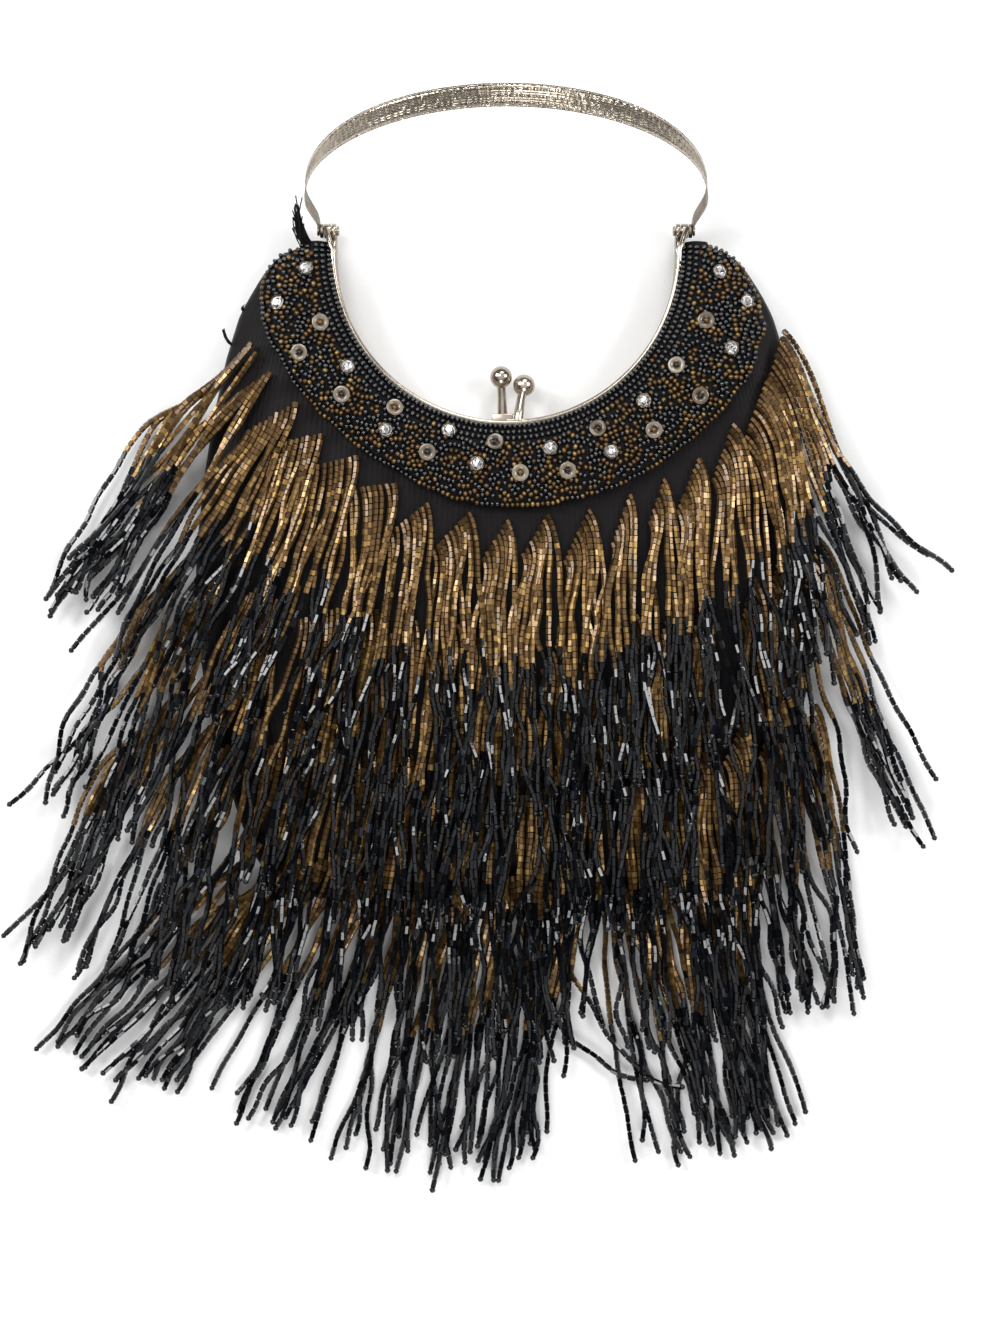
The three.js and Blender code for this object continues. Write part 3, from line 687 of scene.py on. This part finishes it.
fringe_rows = [
    {"peaks": first_peaks,
     "lean": [(-92, -37), (-84, -27), (-66, -17), (-40, -8), (-14, -2), (44, 1), (68, 3), (86, 9), (99, 22)]},
    {"peaks": arc_peaks(-3, 33, 33, 111, 18),
     "lean": [(-112, -26), (-95, -19), (-60, -10), (0, -1), (60, 2), (100, 11), (114, 24)]},
    {"peaks": arc_peaks(-48, 27, 20, 111, 18),
     "lean": [(-112, -23), (-70, -14), (-30, -5), (10, -1), (27, -6), (36, 9), (60, 6), (112, 10)]},
    {"peaks": arc_peaks(-92, 12, 12, 88, 15),
     "lean": [(-88, -42), (-60, -27), (-30, -12), (0, -5), (26, -12), (37, 18), (60, 12), (88, 6)]},
]
# Strands that lie apart from the rest: row, stitch, lean at the stitch and bend on the way, in degrees
loners = [
    (1, (-91, 99), -40, -3), (1, (-89, 97), -35, -8), (1, (100, 103), 24, 34), (1, (101, 101), 22, 30),
    (1, (100, 98), 19, 24), (2, (-112, 7), -41, 0), (2, (-110, 9), -30, 8), (2, (113, 14), 22, 8),
    (2, (111, 12), 30, -10), (3, (-108, -20), -36, 12), (3, (108, -34), 16, -6), (4, (10, -92), 14, 62),
    (4, (2, -91), 8, 66),
]


def strands_of(number, row):
    """Stitch, lean, side shift, bend and curl at the stitch of every strand in a row."""
    lean_x, lean_degrees = zip(*row["lean"])
    peaks = row["peaks"]
    strands = []
    for index, (x, y) in enumerate(peaks):
        before, after = peaks[max(0, index - 1)], peaks[min(len(peaks) - 1, index + 1)]
        pitch = math.dist(before, after) / (2 if 0 < index < len(peaks) - 1 else 1)
        left = between(x, (-90, -40), (1, 0))
        count = max(6, round(pitch / 1.75) + int(chance.integers(0, 2)) + (number == 1) * round(2 * left))
        lean_here = math.radians(between(x, lean_x, lean_degrees))
        aside = (math.cos(lean_here), math.sin(lean_here))
        run = (after[0] - before[0]) * aside[0] + (after[1] - before[1]) * aside[1]
        spread = max(8.5, 1.7 * count * left, 1.08 * pitch * abs(run) / math.dist(before, after))
        slant = math.radians(between(x, *COMB_SLANT) + chance.normal(0, 3))
        shared = chance.normal(0, 1.6)
        curl = between(x, (-90, -55), (-6, 34)) + chance.normal(0, 6)
        for rank in range(count):
            along = rank * ROOT_PITCH + chance.normal(0, 0.25)
            root = (x - along * math.cos(slant), y - along * math.sin(slant))
            sideways = (root[0] - x) * aside[0] + (root[1] - y) * aside[1]
            shift = -(rank + 0.5) / count * spread - sideways
            lean = between(root[0], lean_x, lean_degrees) + shared + chance.normal(0, 1.6)
            strands.append((*root, lean, shift + chance.normal(0, 0.5), chance.normal(0, 4), curl))
    strands += [(*root, lean, 0, bend, 0) for owner, root, lean, bend in loners if owner == number]
    return np.array(strands)


def strand_paths(strands, layers):
    """Plan and height of every strand, at 1 mm steps."""
    count = len(strands)
    walked = np.arange(PATH_STEPS)
    ease = np.clip(walked / 26, 0, 1)
    ease = ease * ease * (3 - 2 * ease)
    phase = chance.uniform(0, 6.3, (count, 3, 1))
    waves = np.array([23, 62, 120])[None, :, None]
    sway = chance.normal(0, 1, (count, 3, 1)) * np.array([0.5, 0.9, 1.7])[None, :, None]
    drift = (sway * (np.sin(walked / waves * 6.3 + phase) - np.sin(phase))).sum(1)
    drift = drift * np.clip(walked / 60, 0.1, 1)
    splay = chance.normal(0, 3.6, (count, 1)) * np.clip((walked - 40) / 60, 0, 1) ** 1.6
    bend = strands[:, 4:5] * np.clip(walked / 100, 0, 1.2) ** 1.5
    turn = np.radians(strands[:, 2:3] + bend + strands[:, 5:6] * np.exp(-walked / 6.5))
    ahead = np.stack([np.sin(turn), -np.cos(turn)], axis=2)
    aside = np.stack([np.cos(turn), np.sin(turn)], axis=2)
    sideways = strands[:, 3:4] * ease + drift + splay
    plan = strands[:, None, :2] + ahead.cumsum(axis=1) + aside * sideways[:, :, None]
    bed = bed_height(plan.reshape(-1, 2)).reshape(count, PATH_STEPS)
    own = chance.uniform(0, 1.8, (count, 1)) * np.clip(walked / 12, 0, 1)
    height = bed + 1.3 + layers * 3.2 * walked / 43.5 + own
    return np.dstack([plan, height])


def spots_along(path, walked, stops):
    return np.c_[[np.interp(stops, walked, path[:, axis]) for axis in range(3)]].T


def strand_beads(paths):
    """Each kind's beads on all the paths: their places, directions, rolls and distances from the stitch."""
    found = {"gilt": [], "tube": [], "end": []}
    for path in paths:
        length = STRAND_LENGTH + chance.normal(0, 3)
        walked = np.r_[0, np.cumsum(np.linalg.norm(np.diff(path, axis=0), axis=1))]
        change = GILT_LENGTH + chance.normal(0, 2.5)
        gilt = np.arange(GILT_PITCH / 2, change, GILT_PITCH)
        tube_start = gilt[-1] + GILT_PITCH / 2 + TUBE_PITCH / 2
        tubes = np.arange(tube_start, length, TUBE_PITCH)
        end = np.array([tubes[-1] + TUBE_PITCH / 2 + END_LENGTH / 2])
        roll = chance.uniform(0, 6.3)
        for kind, stops, twist in (("gilt", gilt, 0.07), ("tube", tubes, 0.16), ("end", end, 0)):
            ahead = spots_along(path, walked, stops + END_LENGTH / 2)
            behind = spots_along(path, walked, stops - END_LENGTH / 2)
            rolls = roll + np.cumsum(chance.normal(0, 1, len(stops)) * twist)
            found[kind].append(np.c_[(ahead + behind) / 2, ahead - behind, rolls, stops])
    return {kind: np.concatenate(rows) for kind, rows in found.items()}


def fringe_row(number, row):
    paths = strand_paths(strands_of(number, row), 1 if number < 4 else 0.15)
    beads = strand_beads(paths)
    groups = []
    looks = {
        "gilt": (drum(6), GILT_RADIUS, GILT_PITCH - BEAD_GAP, 0),
        "tube": (drum(6), TUBE_RADIUS, TUBE_PITCH - BEAD_GAP, 1),
        "end": (barrel(), END_RADIUS, END_LENGTH, 1),
    }
    for kind, rows in beads.items():
        bead, radius, length, finish = looks[kind]
        size = np.tile([radius, radius, length], (len(rows), 1))
        size *= chance.normal(1, 0.03, (len(rows), 1))
        axes = axes_along(rows[:, 3:6] + chance.normal(0, 0.05, (len(rows), 3)), rows[:, 6])
        # Random tone per bead, times a factor that rises from 0.4 at the stitch to 1 at 14.4 mm: painted
        # shade on the top of each strand.
        tones = chance.beta(2, 2.6, len(rows)) * np.clip(0.4 + rows[:, 7] / 24, 0, 1)
        groups.append((bead, rows[:, :3], axes, size, tones, finish, kind == "end"))
        core = np.tile([CORE_RADIUS, CORE_RADIUS, length + 0.5], (len(rows), 1))
        groups.append((drum(3, capped=False), rows[:, :3], axes, core, tones, 2, True))
    name = f"fringe_beads_{number}"
    print(f"row {number}: {len(paths)} strands, {sum(map(len, beads.values()))} beads")
    finishes = [bronze, jet, cotton]
    finish_mesh(name, copies_mesh(name, groups), "purse", finishes, [f"fringe_row_{number}"])


for number, row in enumerate(fringe_rows, 1):
    fringe_row(number, row)

# %% [markdown]
# The yoke is a crescent pad. A copy of its CAD solid is remeshed in small voxels and puffed by a short
# cloth simulation, as stuffing does, and the beads are stitched to the result.

# %% The yoke's pad
pad_shape = bmesh.new()
pad_shape.from_mesh(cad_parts["yoke"].data)
bmesh.ops.remove_doubles(pad_shape, verts=pad_shape.verts, dist=1e-6)
stretch(pad_shape, 1 / MM, 1 / MM, 1 / MM)
bmesh.ops.recalc_face_normals(pad_shape, faces=pad_shape.faces)
pad_mesh = baked("yoke_pad", pad_shape, [
    ("REMESH", {"mode": "VOXEL", "voxel_size": 1.8 * MM, "use_smooth_shade": True}),
    ("SMOOTH", {"factor": 0.5, "iterations": 6}),
])


def puffed(mesh, pressure, vertex_mass, frames, cap):
    """Swells a closed mesh by air pressure on cloth. No point moves further than the cap, in metres."""
    made = put("stuffing", mesh)
    cloth = made.modifiers.new("stuffing", "CLOTH").settings
    cloth.mass = vertex_mass
    cloth.use_pressure = True
    cloth.uniform_pressure_force = pressure
    cloth.effector_weights.gravity = 0
    for step in range(1, frames + 1):
        scene.frame_set(step)
    swollen = made.evaluated_get(bpy.context.evaluated_depsgraph_get()).to_mesh()
    before = np.array([vert.co for vert in mesh.vertices])
    move = np.array([vert.co for vert in swollen.vertices]) - before
    length = np.maximum(np.linalg.norm(move, axis=1), 1e-9)
    bpy.data.objects.remove(made)
    scene.frame_set(1)
    mesh.vertices.foreach_set("co", (before + move * np.minimum(1, cap / length)[:, None]).ravel())
    print(f"pad: mean swell {np.minimum(length, cap).mean() / MM:.2f} mm")


puffed(pad_mesh, pressure=8, vertex_mass=0.001, frames=20, cap=0.8 * MM)
pad = finish_mesh("yoke_pad", pad_mesh, "purse", [cotton], ["yoke"])
pad_bm = bmesh.new()
pad_bm.from_mesh(pad_mesh)
stretch(pad_bm, 1 / MM, 1 / MM, 1 / MM)
pad_surface = BVHTree.FromBMesh(pad_bm)
pad_bm.free()

# %% [markdown]
# Three neat rows, nearly all black, follow the frame, and a mixed row binds the outer edge. The space between
# is filled with short wandering runs in every direction. A run starts at a free spot and goes on for up to
# six beads, unless it meets another bead or the edge. A grid of taken spots makes that test fast.

# %% Beads of the yoke
def top_of(x, y):
    """Place and direction of the pad's top."""
    return pad_surface.ray_cast(Vector((x, y, 200)), Vector((0, 0, -1)))[:2]


def edge_radius(degrees):
    radii = np.arange(rim_outer + 4, rim_outer + 48, 0.25)
    for radius in radii:
        spot = around(radius, degrees)
        hit, normal = top_of(spot.x, spot.y)
        if hit is None or normal.z < 0.25:
            return radius
    return radii[-1]


bead_radius, bead_pitch = 1.03, 1.62
bead_lift = 0.75
cell_size = 2.4
arc_end = 91
# Distance from the frame, pitch and share of black beads
rim_rows = ((1.15, 1.75, 1.0), (3.3, 2.0, 0.98), (5.4, 2.1, 0.85))
fill_start = rim_outer + 7.1
fill_tries = 80000
edge_angles = np.linspace(-92, 92, 185)
edge_radii = np.array([edge_radius(angle) for angle in edge_angles])
print("yoke width at the middle:", edge_radii[92] - rim_outer, "mm")

taken = {}
yoke_beads = []


def edge_at(degrees):
    return between(degrees, edge_angles, edge_radii)


def cell_of(x, y):
    return int(x // cell_size), int(y // cell_size)


def is_free(spot, run):
    """Whether no other bead is near. Beads of the same run may lie a little closer."""
    cell_x, cell_y = cell_of(*spot)
    for column in range(cell_x - 1, cell_x + 2):
        for line in range(cell_y - 1, cell_y + 2):
            for other, owner in taken.get((column, line), ()):
                if (other - spot).length < bead_pitch * (1 if owner != run else 0.9):
                    return False
    return True


def stitch(x, y, heading, black, run, reach=0.0):
    """Sews one bead to the pad. A row at the frame may feel for the pad a little further out."""
    outward = Vector((x, y - frame_centre_y, 0)).normalized() * reach
    hit, normal = top_of(x, y)
    if reach and (hit is None or normal.z < 0.4):
        hit, normal = top_of(x + outward.x, y + outward.y)
        hit = hit and hit - outward
    if hit is None or normal.z < 0.15:
        return False
    along = Vector((math.cos(heading), math.sin(heading), 0))
    along = (along - normal * along.dot(normal)).normalized()
    place = hit + normal * bead_lift
    taken.setdefault(cell_of(x, y), []).append((Vector((x, y)), run))
    yoke_beads.append((*place, *along, 0 if black else 1))
    return True


def stitched_arc(inset, pitch, from_frame, black_share, run):
    """One row of beads that follows the frame, or the outer edge, at a distance from it."""
    def radius_at(degrees):
        return rim_outer + inset if from_frame else edge_at(degrees) - inset

    degrees, black = -arc_end, True
    while degrees < arc_end:
        radius = radius_at(degrees)
        if rim_outer + inset < edge_at(degrees) - 0.5:
            spot, ahead = around(radius, degrees), around(radius_at(degrees + 1), degrees + 1)
            heading = math.atan2(ahead.y - spot.y, ahead.x - spot.x)
            if chance.random() < 0.4:
                black = chance.random() < black_share
            stitch(spot.x, spot.y, heading, black, run, reach=1.6 if from_frame else 0.0)
        degrees += math.degrees(pitch / radius)


for number, (inset, pitch, black_share) in enumerate(rim_rows):
    stitched_arc(inset, pitch, True, black_share, -1 - number)
stitched_arc(1.0, 1.8, False, 0.62, -9)
run = 0
for _ in range(fill_tries):
    degrees = chance.uniform(-arc_end, arc_end)
    far = max(fill_start + 0.1, edge_at(degrees) - 1.4)
    spot = around(math.sqrt(chance.uniform(fill_start ** 2, far ** 2)), degrees)
    if not is_free(spot.xy, None):
        continue
    run += 1
    if chance.random() < 0.6:
        heading = math.radians(degrees) + chance.normal(0, 0.5)
    else:
        heading = chance.uniform(0, 6.3)
    black = chance.random() < 0.6
    x, y = spot.x, spot.y
    for bead in range(int(chance.integers(2, 7))):
        if chance.random() < 0.12:
            black = not black
        from_centre = math.hypot(x, frame_centre_y - y)
        degrees = math.degrees(math.atan2(x, frame_centre_y - y))
        if abs(degrees) > arc_end or not fill_start - 0.4 < from_centre < edge_at(degrees) - 1.2:
            break
        if bead and not is_free(Vector((x, y)), run):
            break
        if not stitch(x, y, heading, black, run):
            break
        heading += chance.normal(0, 0.35)
        x += bead_pitch * math.cos(heading)
        y += bead_pitch * math.sin(heading)
print("yoke beads:", len(yoke_beads))

rows = np.array(yoke_beads)
groups = []
for kind in (0, 1):
    part = rows[rows[:, 6] == kind]
    size = np.array([bead_radius, bead_radius, bead_pitch * 0.51]) * chance.normal(1, 0.06, (len(part), 1))
    axes = axes_along(part[:, 3:6], chance.uniform(0, 6.3, len(part)))
    tones = chance.beta(2, 3.2, len(part))
    groups.append((ball(8, 4, 1), part[:, :3], axes, size, tones, kind, True))
beads_mesh = copies_mesh("yoke_seed_beads", groups)
finish_mesh("yoke_seed_beads", beads_mesh, "purse", [jet_seed, bronze])

# %% [markdown]
# The frame's rims are spun: a rounded section turns half a circle about the frame's centre, and its two ends
# are then drawn out straight to the hinges.

# %% Frame rims and flanges
def spun_bar(corners, first, last, steps, flare=0.0, arm=False):
    """A section of x, z corners spun about the frame's centre. Arms go on up to the hinges."""
    bar = bmesh.new()
    section = bar.faces.new([bar.verts.new((x, frame_centre_y, z)) for x, z in corners])
    centre = (0, frame_centre_y, 0)
    start, turn = Matrix.Rotation(math.radians(first), 3, "Z"), math.radians(last - first)
    bmesh.ops.rotate(bar, cent=centre, matrix=start, verts=bar.verts)
    spun = bmesh.ops.spin(bar, geom=[section], cent=centre, axis=(0, 0, 1), angle=turn, steps=steps)
    if arm:
        for end in [section, only(FACE, spun["geom_last"])[0]]:
            moved = only(VERT, bmesh.ops.extrude_face_region(bar, geom=[end])["geom"])
            side = math.copysign(1, moved[0].co.x)
            shift(bar, (side * flare, hinge_y - frame_centre_y, 0), moved)
            if end.is_valid:
                bmesh.ops.delete(bar, geom=[end], context="FACES_ONLY")
    bmesh.ops.remove_doubles(bar, verts=bar.verts, dist=1e-4)
    bmesh.ops.recalc_face_normals(bar, faces=bar.faces)
    return bar


def rim_corners(low, high):
    """Section of a rim: a flat wall with a rolled bead along its open edge."""
    lip = 0.45
    lip_outer, lip_inner = rim_outer + lip * 0.6, rim_inner - lip * 0.4
    return [
        (rim_inner, low + 0.2), (rim_inner + 0.2, low), (rim_outer - 0.2, low), (rim_outer, low + 0.2),
        (rim_outer, high - 1.6), (lip_outer, high - 1.1), (lip_outer, high - 0.5), (rim_outer - 0.25, high),
        (rim_inner + 0.25, high), (lip_inner, high - 0.5), (lip_inner, high - 1.1), (rim_inner, high - 1.6),
    ]


def added(target, other):
    mesh = mesh_of("join", other)
    target.from_mesh(mesh)
    bpy.data.meshes.remove(mesh)


def barrel_x(radius, from_x, to_x, y, z, sides=40, edge=0.25):
    made = barrel(sides, radius, abs(to_x - from_x), edge, 2)
    rotate(made, Matrix.Rotation(math.pi / 2, 3, "Y"))
    shift(made, ((from_x + to_x) / 2, y, z))
    return made


# %% [markdown]
# Each knob is a ball on a stem that grows out of a small plate on the rim. The stem is a ring of vertices
# swept up a curve, a little thicker near the plate than near the ball.

# %% Ball knobs
rim_foot_y = frame_centre_y - rim_inner
ball_radius, stem_radius, stem_steps = 4, 1.7, 14
foot_wide, foot_deep, foot_sunk = 8, 4, 0.2


def knob(ball_x, above, foot_x, z, bend, foot_height):
    made = ball(48, 32, ball_radius)
    shift(made, (ball_x, rim_foot_y + above, parting))
    foot = bmesh.new()
    bmesh.ops.create_cube(foot, size=1)
    stretch(foot, foot_wide, foot_height, foot_deep)
    bevel(foot, foot.edges[:], 0.35, 3)
    shift(foot, (foot_x, rim_foot_y + foot_height / 2 - foot_sunk, z))
    added(made, foot)
    start = Vector((foot_x, rim_foot_y - foot_sunk, z))
    middle = Vector((foot_x + bend, rim_foot_y + above * 0.45, z))
    stop = Vector((ball_x, rim_foot_y + above, parting))
    stem = bmesh.new()
    bmesh.ops.create_circle(stem, cap_ends=False, radius=stem_radius, segments=24)
    rotate(stem, Matrix.Rotation(-math.pi / 2, 3, "X"))
    shift(stem, start)
    edges = stem.edges[:]
    before = start
    for step in range(1, stem_steps + 1):
        share = step / stem_steps
        place = (1 - share) ** 2 * start + 2 * share * (1 - share) * middle + share ** 2 * stop
        moved = bmesh.ops.extrude_edge_only(stem, edges=edges)["geom"]
        ring, edges = only(VERT, moved), only(EDGE, moved)
        shift(stem, place - before, ring)
        before = place
        waist = 1 + 0.035 * math.cos(share * 2 * math.pi)
        for vert in ring:
            vert.co = place + (vert.co - place) * waist
    added(made, stem)
    return made


def frame_half(name, low, high, flare, flange_low, knuckle, knob_made):
    half = spun_bar(rim_corners(low, high), -180, 0, 96, flare, arm=True)
    flange_inner, flange_outer, flange_high = rim_outer - 0.2, rim_outer + 3, flange_low + 1
    flange = [(flange_inner, flange_low), (flange_outer, flange_low),
              (flange_outer, flange_high), (flange_inner, flange_high)]
    added(half, spun_bar(flange, -160, -20, 72))
    for side in (-1, 1):
        added(half, barrel_x(2.6, side * knuckle[0], side * knuckle[1], hinge_y, parting))
    added(half, knob_made)
    finish_bmesh(f"{name}_metal", half, "purse", [nickel], [name])


half_gap, front_deep, back_deep = 0.15, 8.5, 7.8
frame_half("frame_front", parting + half_gap, parting + half_gap + front_deep, arm_flare, bag_thick - 2.8,
           (rim_outer + clearance, rim_outer + arm_flare), knob(6.5, 13.6, 4.2, parting + 4.4, 0.6, 1.2))
frame_half("frame_back", parting - half_gap - back_deep, parting - half_gap, 0, 1.8,
           (rim_inner, rim_outer), knob(-1.8, 16.6, -1.1, parting - 4.05, -0.3, 3.8))

# %% [markdown]
# The hinge pins are rivets: a shank with a rounded head at each end.

# %% Rivets
eye_inner = rim_outer + arm_flare + clearance
eye_outer = eye_inner + 1.2
for side, name in ((-1, "hinge_pin_left"), (1, "hinge_pin_right")):
    rivet = barrel_x(0.8, side * (rim_inner - 0.5), side * (eye_outer + 0.5), hinge_y, parting, 24, 0.1)
    for low, high in ((rim_inner - 1.1, rim_inner - 0.3), (eye_outer + 0.3, eye_outer + 1.1)):
        added(rivet, barrel_x(1.8, side * low, side * high, hinge_y, parting, 32, 0.3))
    finish_bmesh(f"{name}_rivet", rivet, "purse", [nickel], [name])

# %% [markdown]
# The handle is a strip stamped with scrolls between raised rims, then bent to an arch. A fine flat grid is
# bent along the arch's middle line, and the stamping moves its outer face, so light catches real relief.

# %% The arch
arch_half, arch_height, widest_at, straight_to = 70.6, 70, 20, 3
handle_lift = 60
bend_steps = 24
end_x = (eye_inner + eye_outer) / 2
half_line = [(end_x, 0), (end_x, straight_to)]
for share in (0.2, 0.35, 0.5, 0.65, 0.8, 0.9):
    x = end_x + (arch_half - end_x) * math.sin(share * math.pi / 2) ** 2
    half_line.append((x, straight_to + (widest_at - straight_to) * share))
for step in range(bend_steps):
    turn = step / bend_steps * math.pi / 2
    half_line.append((arch_half * math.cos(turn), widest_at + (arch_height - widest_at) * math.sin(turn)))
arch = np.array([*half_line, (0, arch_height), *[(-x, y) for x, y in reversed(half_line)]])
arch_walk = np.r_[0, np.cumsum(np.hypot(*np.diff(arch, axis=0).T))]
arch_long = arch_walk[-1]


def arch_point(walk):
    return np.array([between(walk, arch_walk, arch[:, axis]) for axis in (0, 1)])


def on_arch(walk):
    """Place and outward direction at a distance along the arch."""
    along = Vector(arch_point(walk + 1.5) - arch_point(walk - 1.5)).normalized()
    return Vector(arch_point(walk)), Vector((along.y, -along.x))


curl_pitch = 2.4


def stamping(walk, across, half):
    """Depth of the stamped ornament, from 0 to 1: rims, two ridges and a curl in each lane between them."""
    if half - abs(across) < 0.55:
        return 1.0
    lane = across / half * 1.5
    ridge = max(0, 1 - abs(abs(lane) - 0.5) / 0.13)
    centred = lane - round(lane)
    wander = noise.noise(Vector((walk * 0.45, round(lane) * 7, 0)))
    phase = walk * 2 * math.pi / curl_pitch + 2.1 * round(lane) + 3 * wander
    curl = math.cos(phase + 2.4 * math.sin(centred * 6.3)) + 0.6 * math.cos(2 * phase + centred * 9)
    grain = noise.noise(Vector((walk * 1.3, across * 1.6, 0)))
    return min(1, max(ridge, (0.75 * (curl + 0.9 * grain)) * min(1, 3 * (0.5 - abs(centred))), 0))


# %% The stamped band
band = bmesh.new()
bmesh.ops.create_grid(band, x_segments=700, y_segments=32, size=1)
depth_layer = band.verts.layers.float.new("relief")
for vert in band.verts:
    walk = (vert.co.x + 1) / 2 * arch_long
    place, outward = on_arch(walk)
    grow = min(1, place.y / (arch_height * 0.9))
    half = (5 + 4.6 * grow * grow * (3 - 2 * grow)) / 2
    across = vert.co.y * half
    depth = stamping(walk, across, half) * min(1, place.y / 10)
    vert[depth_layer] = depth
    out = 0.6 + 0.4 * depth
    vert.co = Vector((place.x + outward.x * out, place.y + outward.y * out, across))
bmesh.ops.solidify(band, geom=band.faces[:], thickness=1.1)
for side in (-1, 1):
    added(band, barrel_x(2.5, side * eye_inner, side * eye_outer, 0, 0, 40, 0.2))
rotate(band, Matrix.Rotation(math.radians(handle_lift), 3, "X"))
shift(band, (0, hinge_y, parting))
finish_bmesh("handle_band", band, "handle", [champagne], ["handle"])

# %% [markdown]
# A stone is a foiled crystal in a small cup: a flattened ball of few facets, cut off flat at its table.
# Each is set where its CAD node is, square to the pad.

# %% Stones and sequins
def seat_of(node):
    """Middle of a CAD node's foot on the pad, and the pad's direction there."""
    low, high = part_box(node)
    middle = (low + high) / 2 / MM
    hit = pad_surface.find_nearest(middle)[0]
    normal = sum((near[1] for near in pad_surface.find_nearest_range(hit, 3)), Vector()).normalized()
    return middle - normal * (middle - hit).dot(normal), normal


def set_on_pad(target, part, node, lift):
    hit, normal = seat_of(node)
    rotate(part, Vector((0, 0, 1)).rotation_difference(normal).to_matrix())
    shift(part, hit + normal * lift)
    added(target, part)


def cut_stone(spin_by):
    gem = ball(8, 10, 2.3)
    stretch(gem, 1, 1, 0.62)
    for height, keep in ((1.28, 1), (-0.1, -1)):
        cut = bmesh.ops.bisect_plane(
            gem, geom=[*gem.verts, *gem.edges, *gem.faces], dist=0.001, plane_co=(0, 0, height),
            plane_no=(0, 0, keep), clear_outer=True,
        )["geom_cut"]
        bmesh.ops.edgenet_fill(gem, edges=only(EDGE, cut))
    bmesh.ops.triangulate(gem, faces=gem.faces)
    # Each face gets a random tone, which the crystal's colour turns into a painted reflection, dark or pale.
    layer = gem.faces.layers.float.new("tone")
    # The facets are taken by place, because their order in the mesh changes from run to run
    for face in sorted(gem.faces, key=lambda face: [round(at, 3) for at in face.calc_center_median()]):
        face[layer] = chance.random()
    rotate(gem, Matrix.Rotation(spin_by, 3, "Z"))
    shift(gem, (0, 0, 1.3))
    return gem


stones = bmesh.new()
stones.faces.layers.float.new("tone")
settings = bmesh.new()
stone_nodes = sorted(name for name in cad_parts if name.startswith("rhinestone"))
for node in stone_nodes:
    set_on_pad(stones, cut_stone(chance.uniform(0, 1)), node, 0.6)
    ring = drum(24, 2.0, 2.65, 1.5)
    top = [face for face in ring.faces if face.normal.z > 0.9]
    bmesh.ops.inset_region(ring, faces=top, thickness=0.4)
    shift(ring, (0, 0, -0.6), list({vert for face in top for vert in face.verts}))
    shift(ring, (0, 0, 0.95))
    set_on_pad(settings, ring, node, 0.6)
finish_bmesh("stones", stones, "purse", [crystal], stone_nodes, smooth=False)
finish_bmesh("stone_settings", settings, "purse", [nickel], smooth=False)

# %% [markdown]
# A cup sequin is a thin dished disc with its rim turned down, held by one small bead over its hole.

# %% Sequins
cups = bmesh.new()
cups.verts.layers.float.new("tone")
centre_beads = []
sequin_nodes = sorted(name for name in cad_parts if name.startswith("sequin"))
for node in sequin_nodes:
    dish = drum(28, 0.7, 2.5, 1, capped=False)
    shade = chance.uniform(0.2, 1)
    layer = dish.verts.layers.float.new("tone")
    outer = [edge for edge in dish.edges if edge.is_boundary and edge.verts[0].co.z > 0]
    for vert in only(VERT, bmesh.ops.extrude_edge_only(dish, edges=outer)["geom"]):
        vert.co *= 3.0 / 2.5
        vert.co.z -= 0.3
    for vert in dish.verts:
        vert[layer] = shade
    bmesh.ops.solidify(dish, geom=dish.faces[:], thickness=0.15)
    set_on_pad(cups, dish, node, 1.4)
    hit, normal = seat_of(node)
    centre_beads.append((*(hit + normal * 1.5), *normal))
finish_bmesh("sequin_cups", cups, "purse", [cup], sequin_nodes)
rows = np.array(centre_beads)
groups = []
for kind, part in enumerate((rows[::3], np.delete(rows, slice(None, None, 3), axis=0))):
    size = np.tile([0.95, 0.95, 1.2], (len(part), 1))
    axes = axes_along(part[:, 3:6], np.zeros(len(part)))
    groups.append((barrel(), part[:, :3], axes, size, np.full(len(part), 0.4), kind, True))
finish_mesh("sequin_beads", copies_mesh("sequin_beads", groups), "purse", [bronze, jet])

# %% [markdown]
# At the left horn a few stitching threads have come loose. Each is a hair-thin tube on a short curve.

# %% Loose threads
threads_made = bmesh.new()
hair_radius, end_radius, hair_steps, hairs = 0.24, 0.6, 8, 40


def loose_thread(root, goal, bow, radius):
    hair = bmesh.new()
    bmesh.ops.create_circle(hair, cap_ends=True, radius=radius, segments=6)
    rotate(hair, Vector((0, 0, 1)).rotation_difference(goal - root).to_matrix())
    shift(hair, root)
    faces, before = hair.faces[:], root
    for step in range(1, hair_steps + 1):
        share = step / hair_steps
        place = root.lerp(goal, share) + bow * math.sin(share * math.pi)
        moved = bmesh.ops.extrude_face_region(hair, geom=faces)["geom"]
        faces = only(FACE, moved)
        shift(hair, place - before, only(VERT, moved))
        before = place
    added(threads_made, hair)


horn = Vector((-72, 136, 12))
for _ in range(hairs):
    root = horn + Vector((chance.uniform(-2, 2), chance.uniform(-3, 1.5), chance.uniform(-3, 3)))
    goal = Vector((-75.5 + chance.normal(0, 0.9), 146.5 + chance.normal(0, 3), 14 + chance.normal(0, 2)))
    bow = Vector((chance.uniform(-1.5, 0), chance.normal(0, 0.5), chance.uniform(0, 1)))
    loose_thread(root, goal, bow, hair_radius)
# Two thread ends at the left edge of the bag
loose_thread(Vector((-97.5, 99, 8)), Vector((-102.5, 105.5, 9)), Vector((-0.8, -1, 0)), end_radius)
loose_thread(Vector((-92.5, 110, 8)), Vector((-94.5, 114.5, 9)), Vector((-2, 0.6, 0)), end_radius)
finish_bmesh("loose_threads", threads_made, "purse", [cotton])
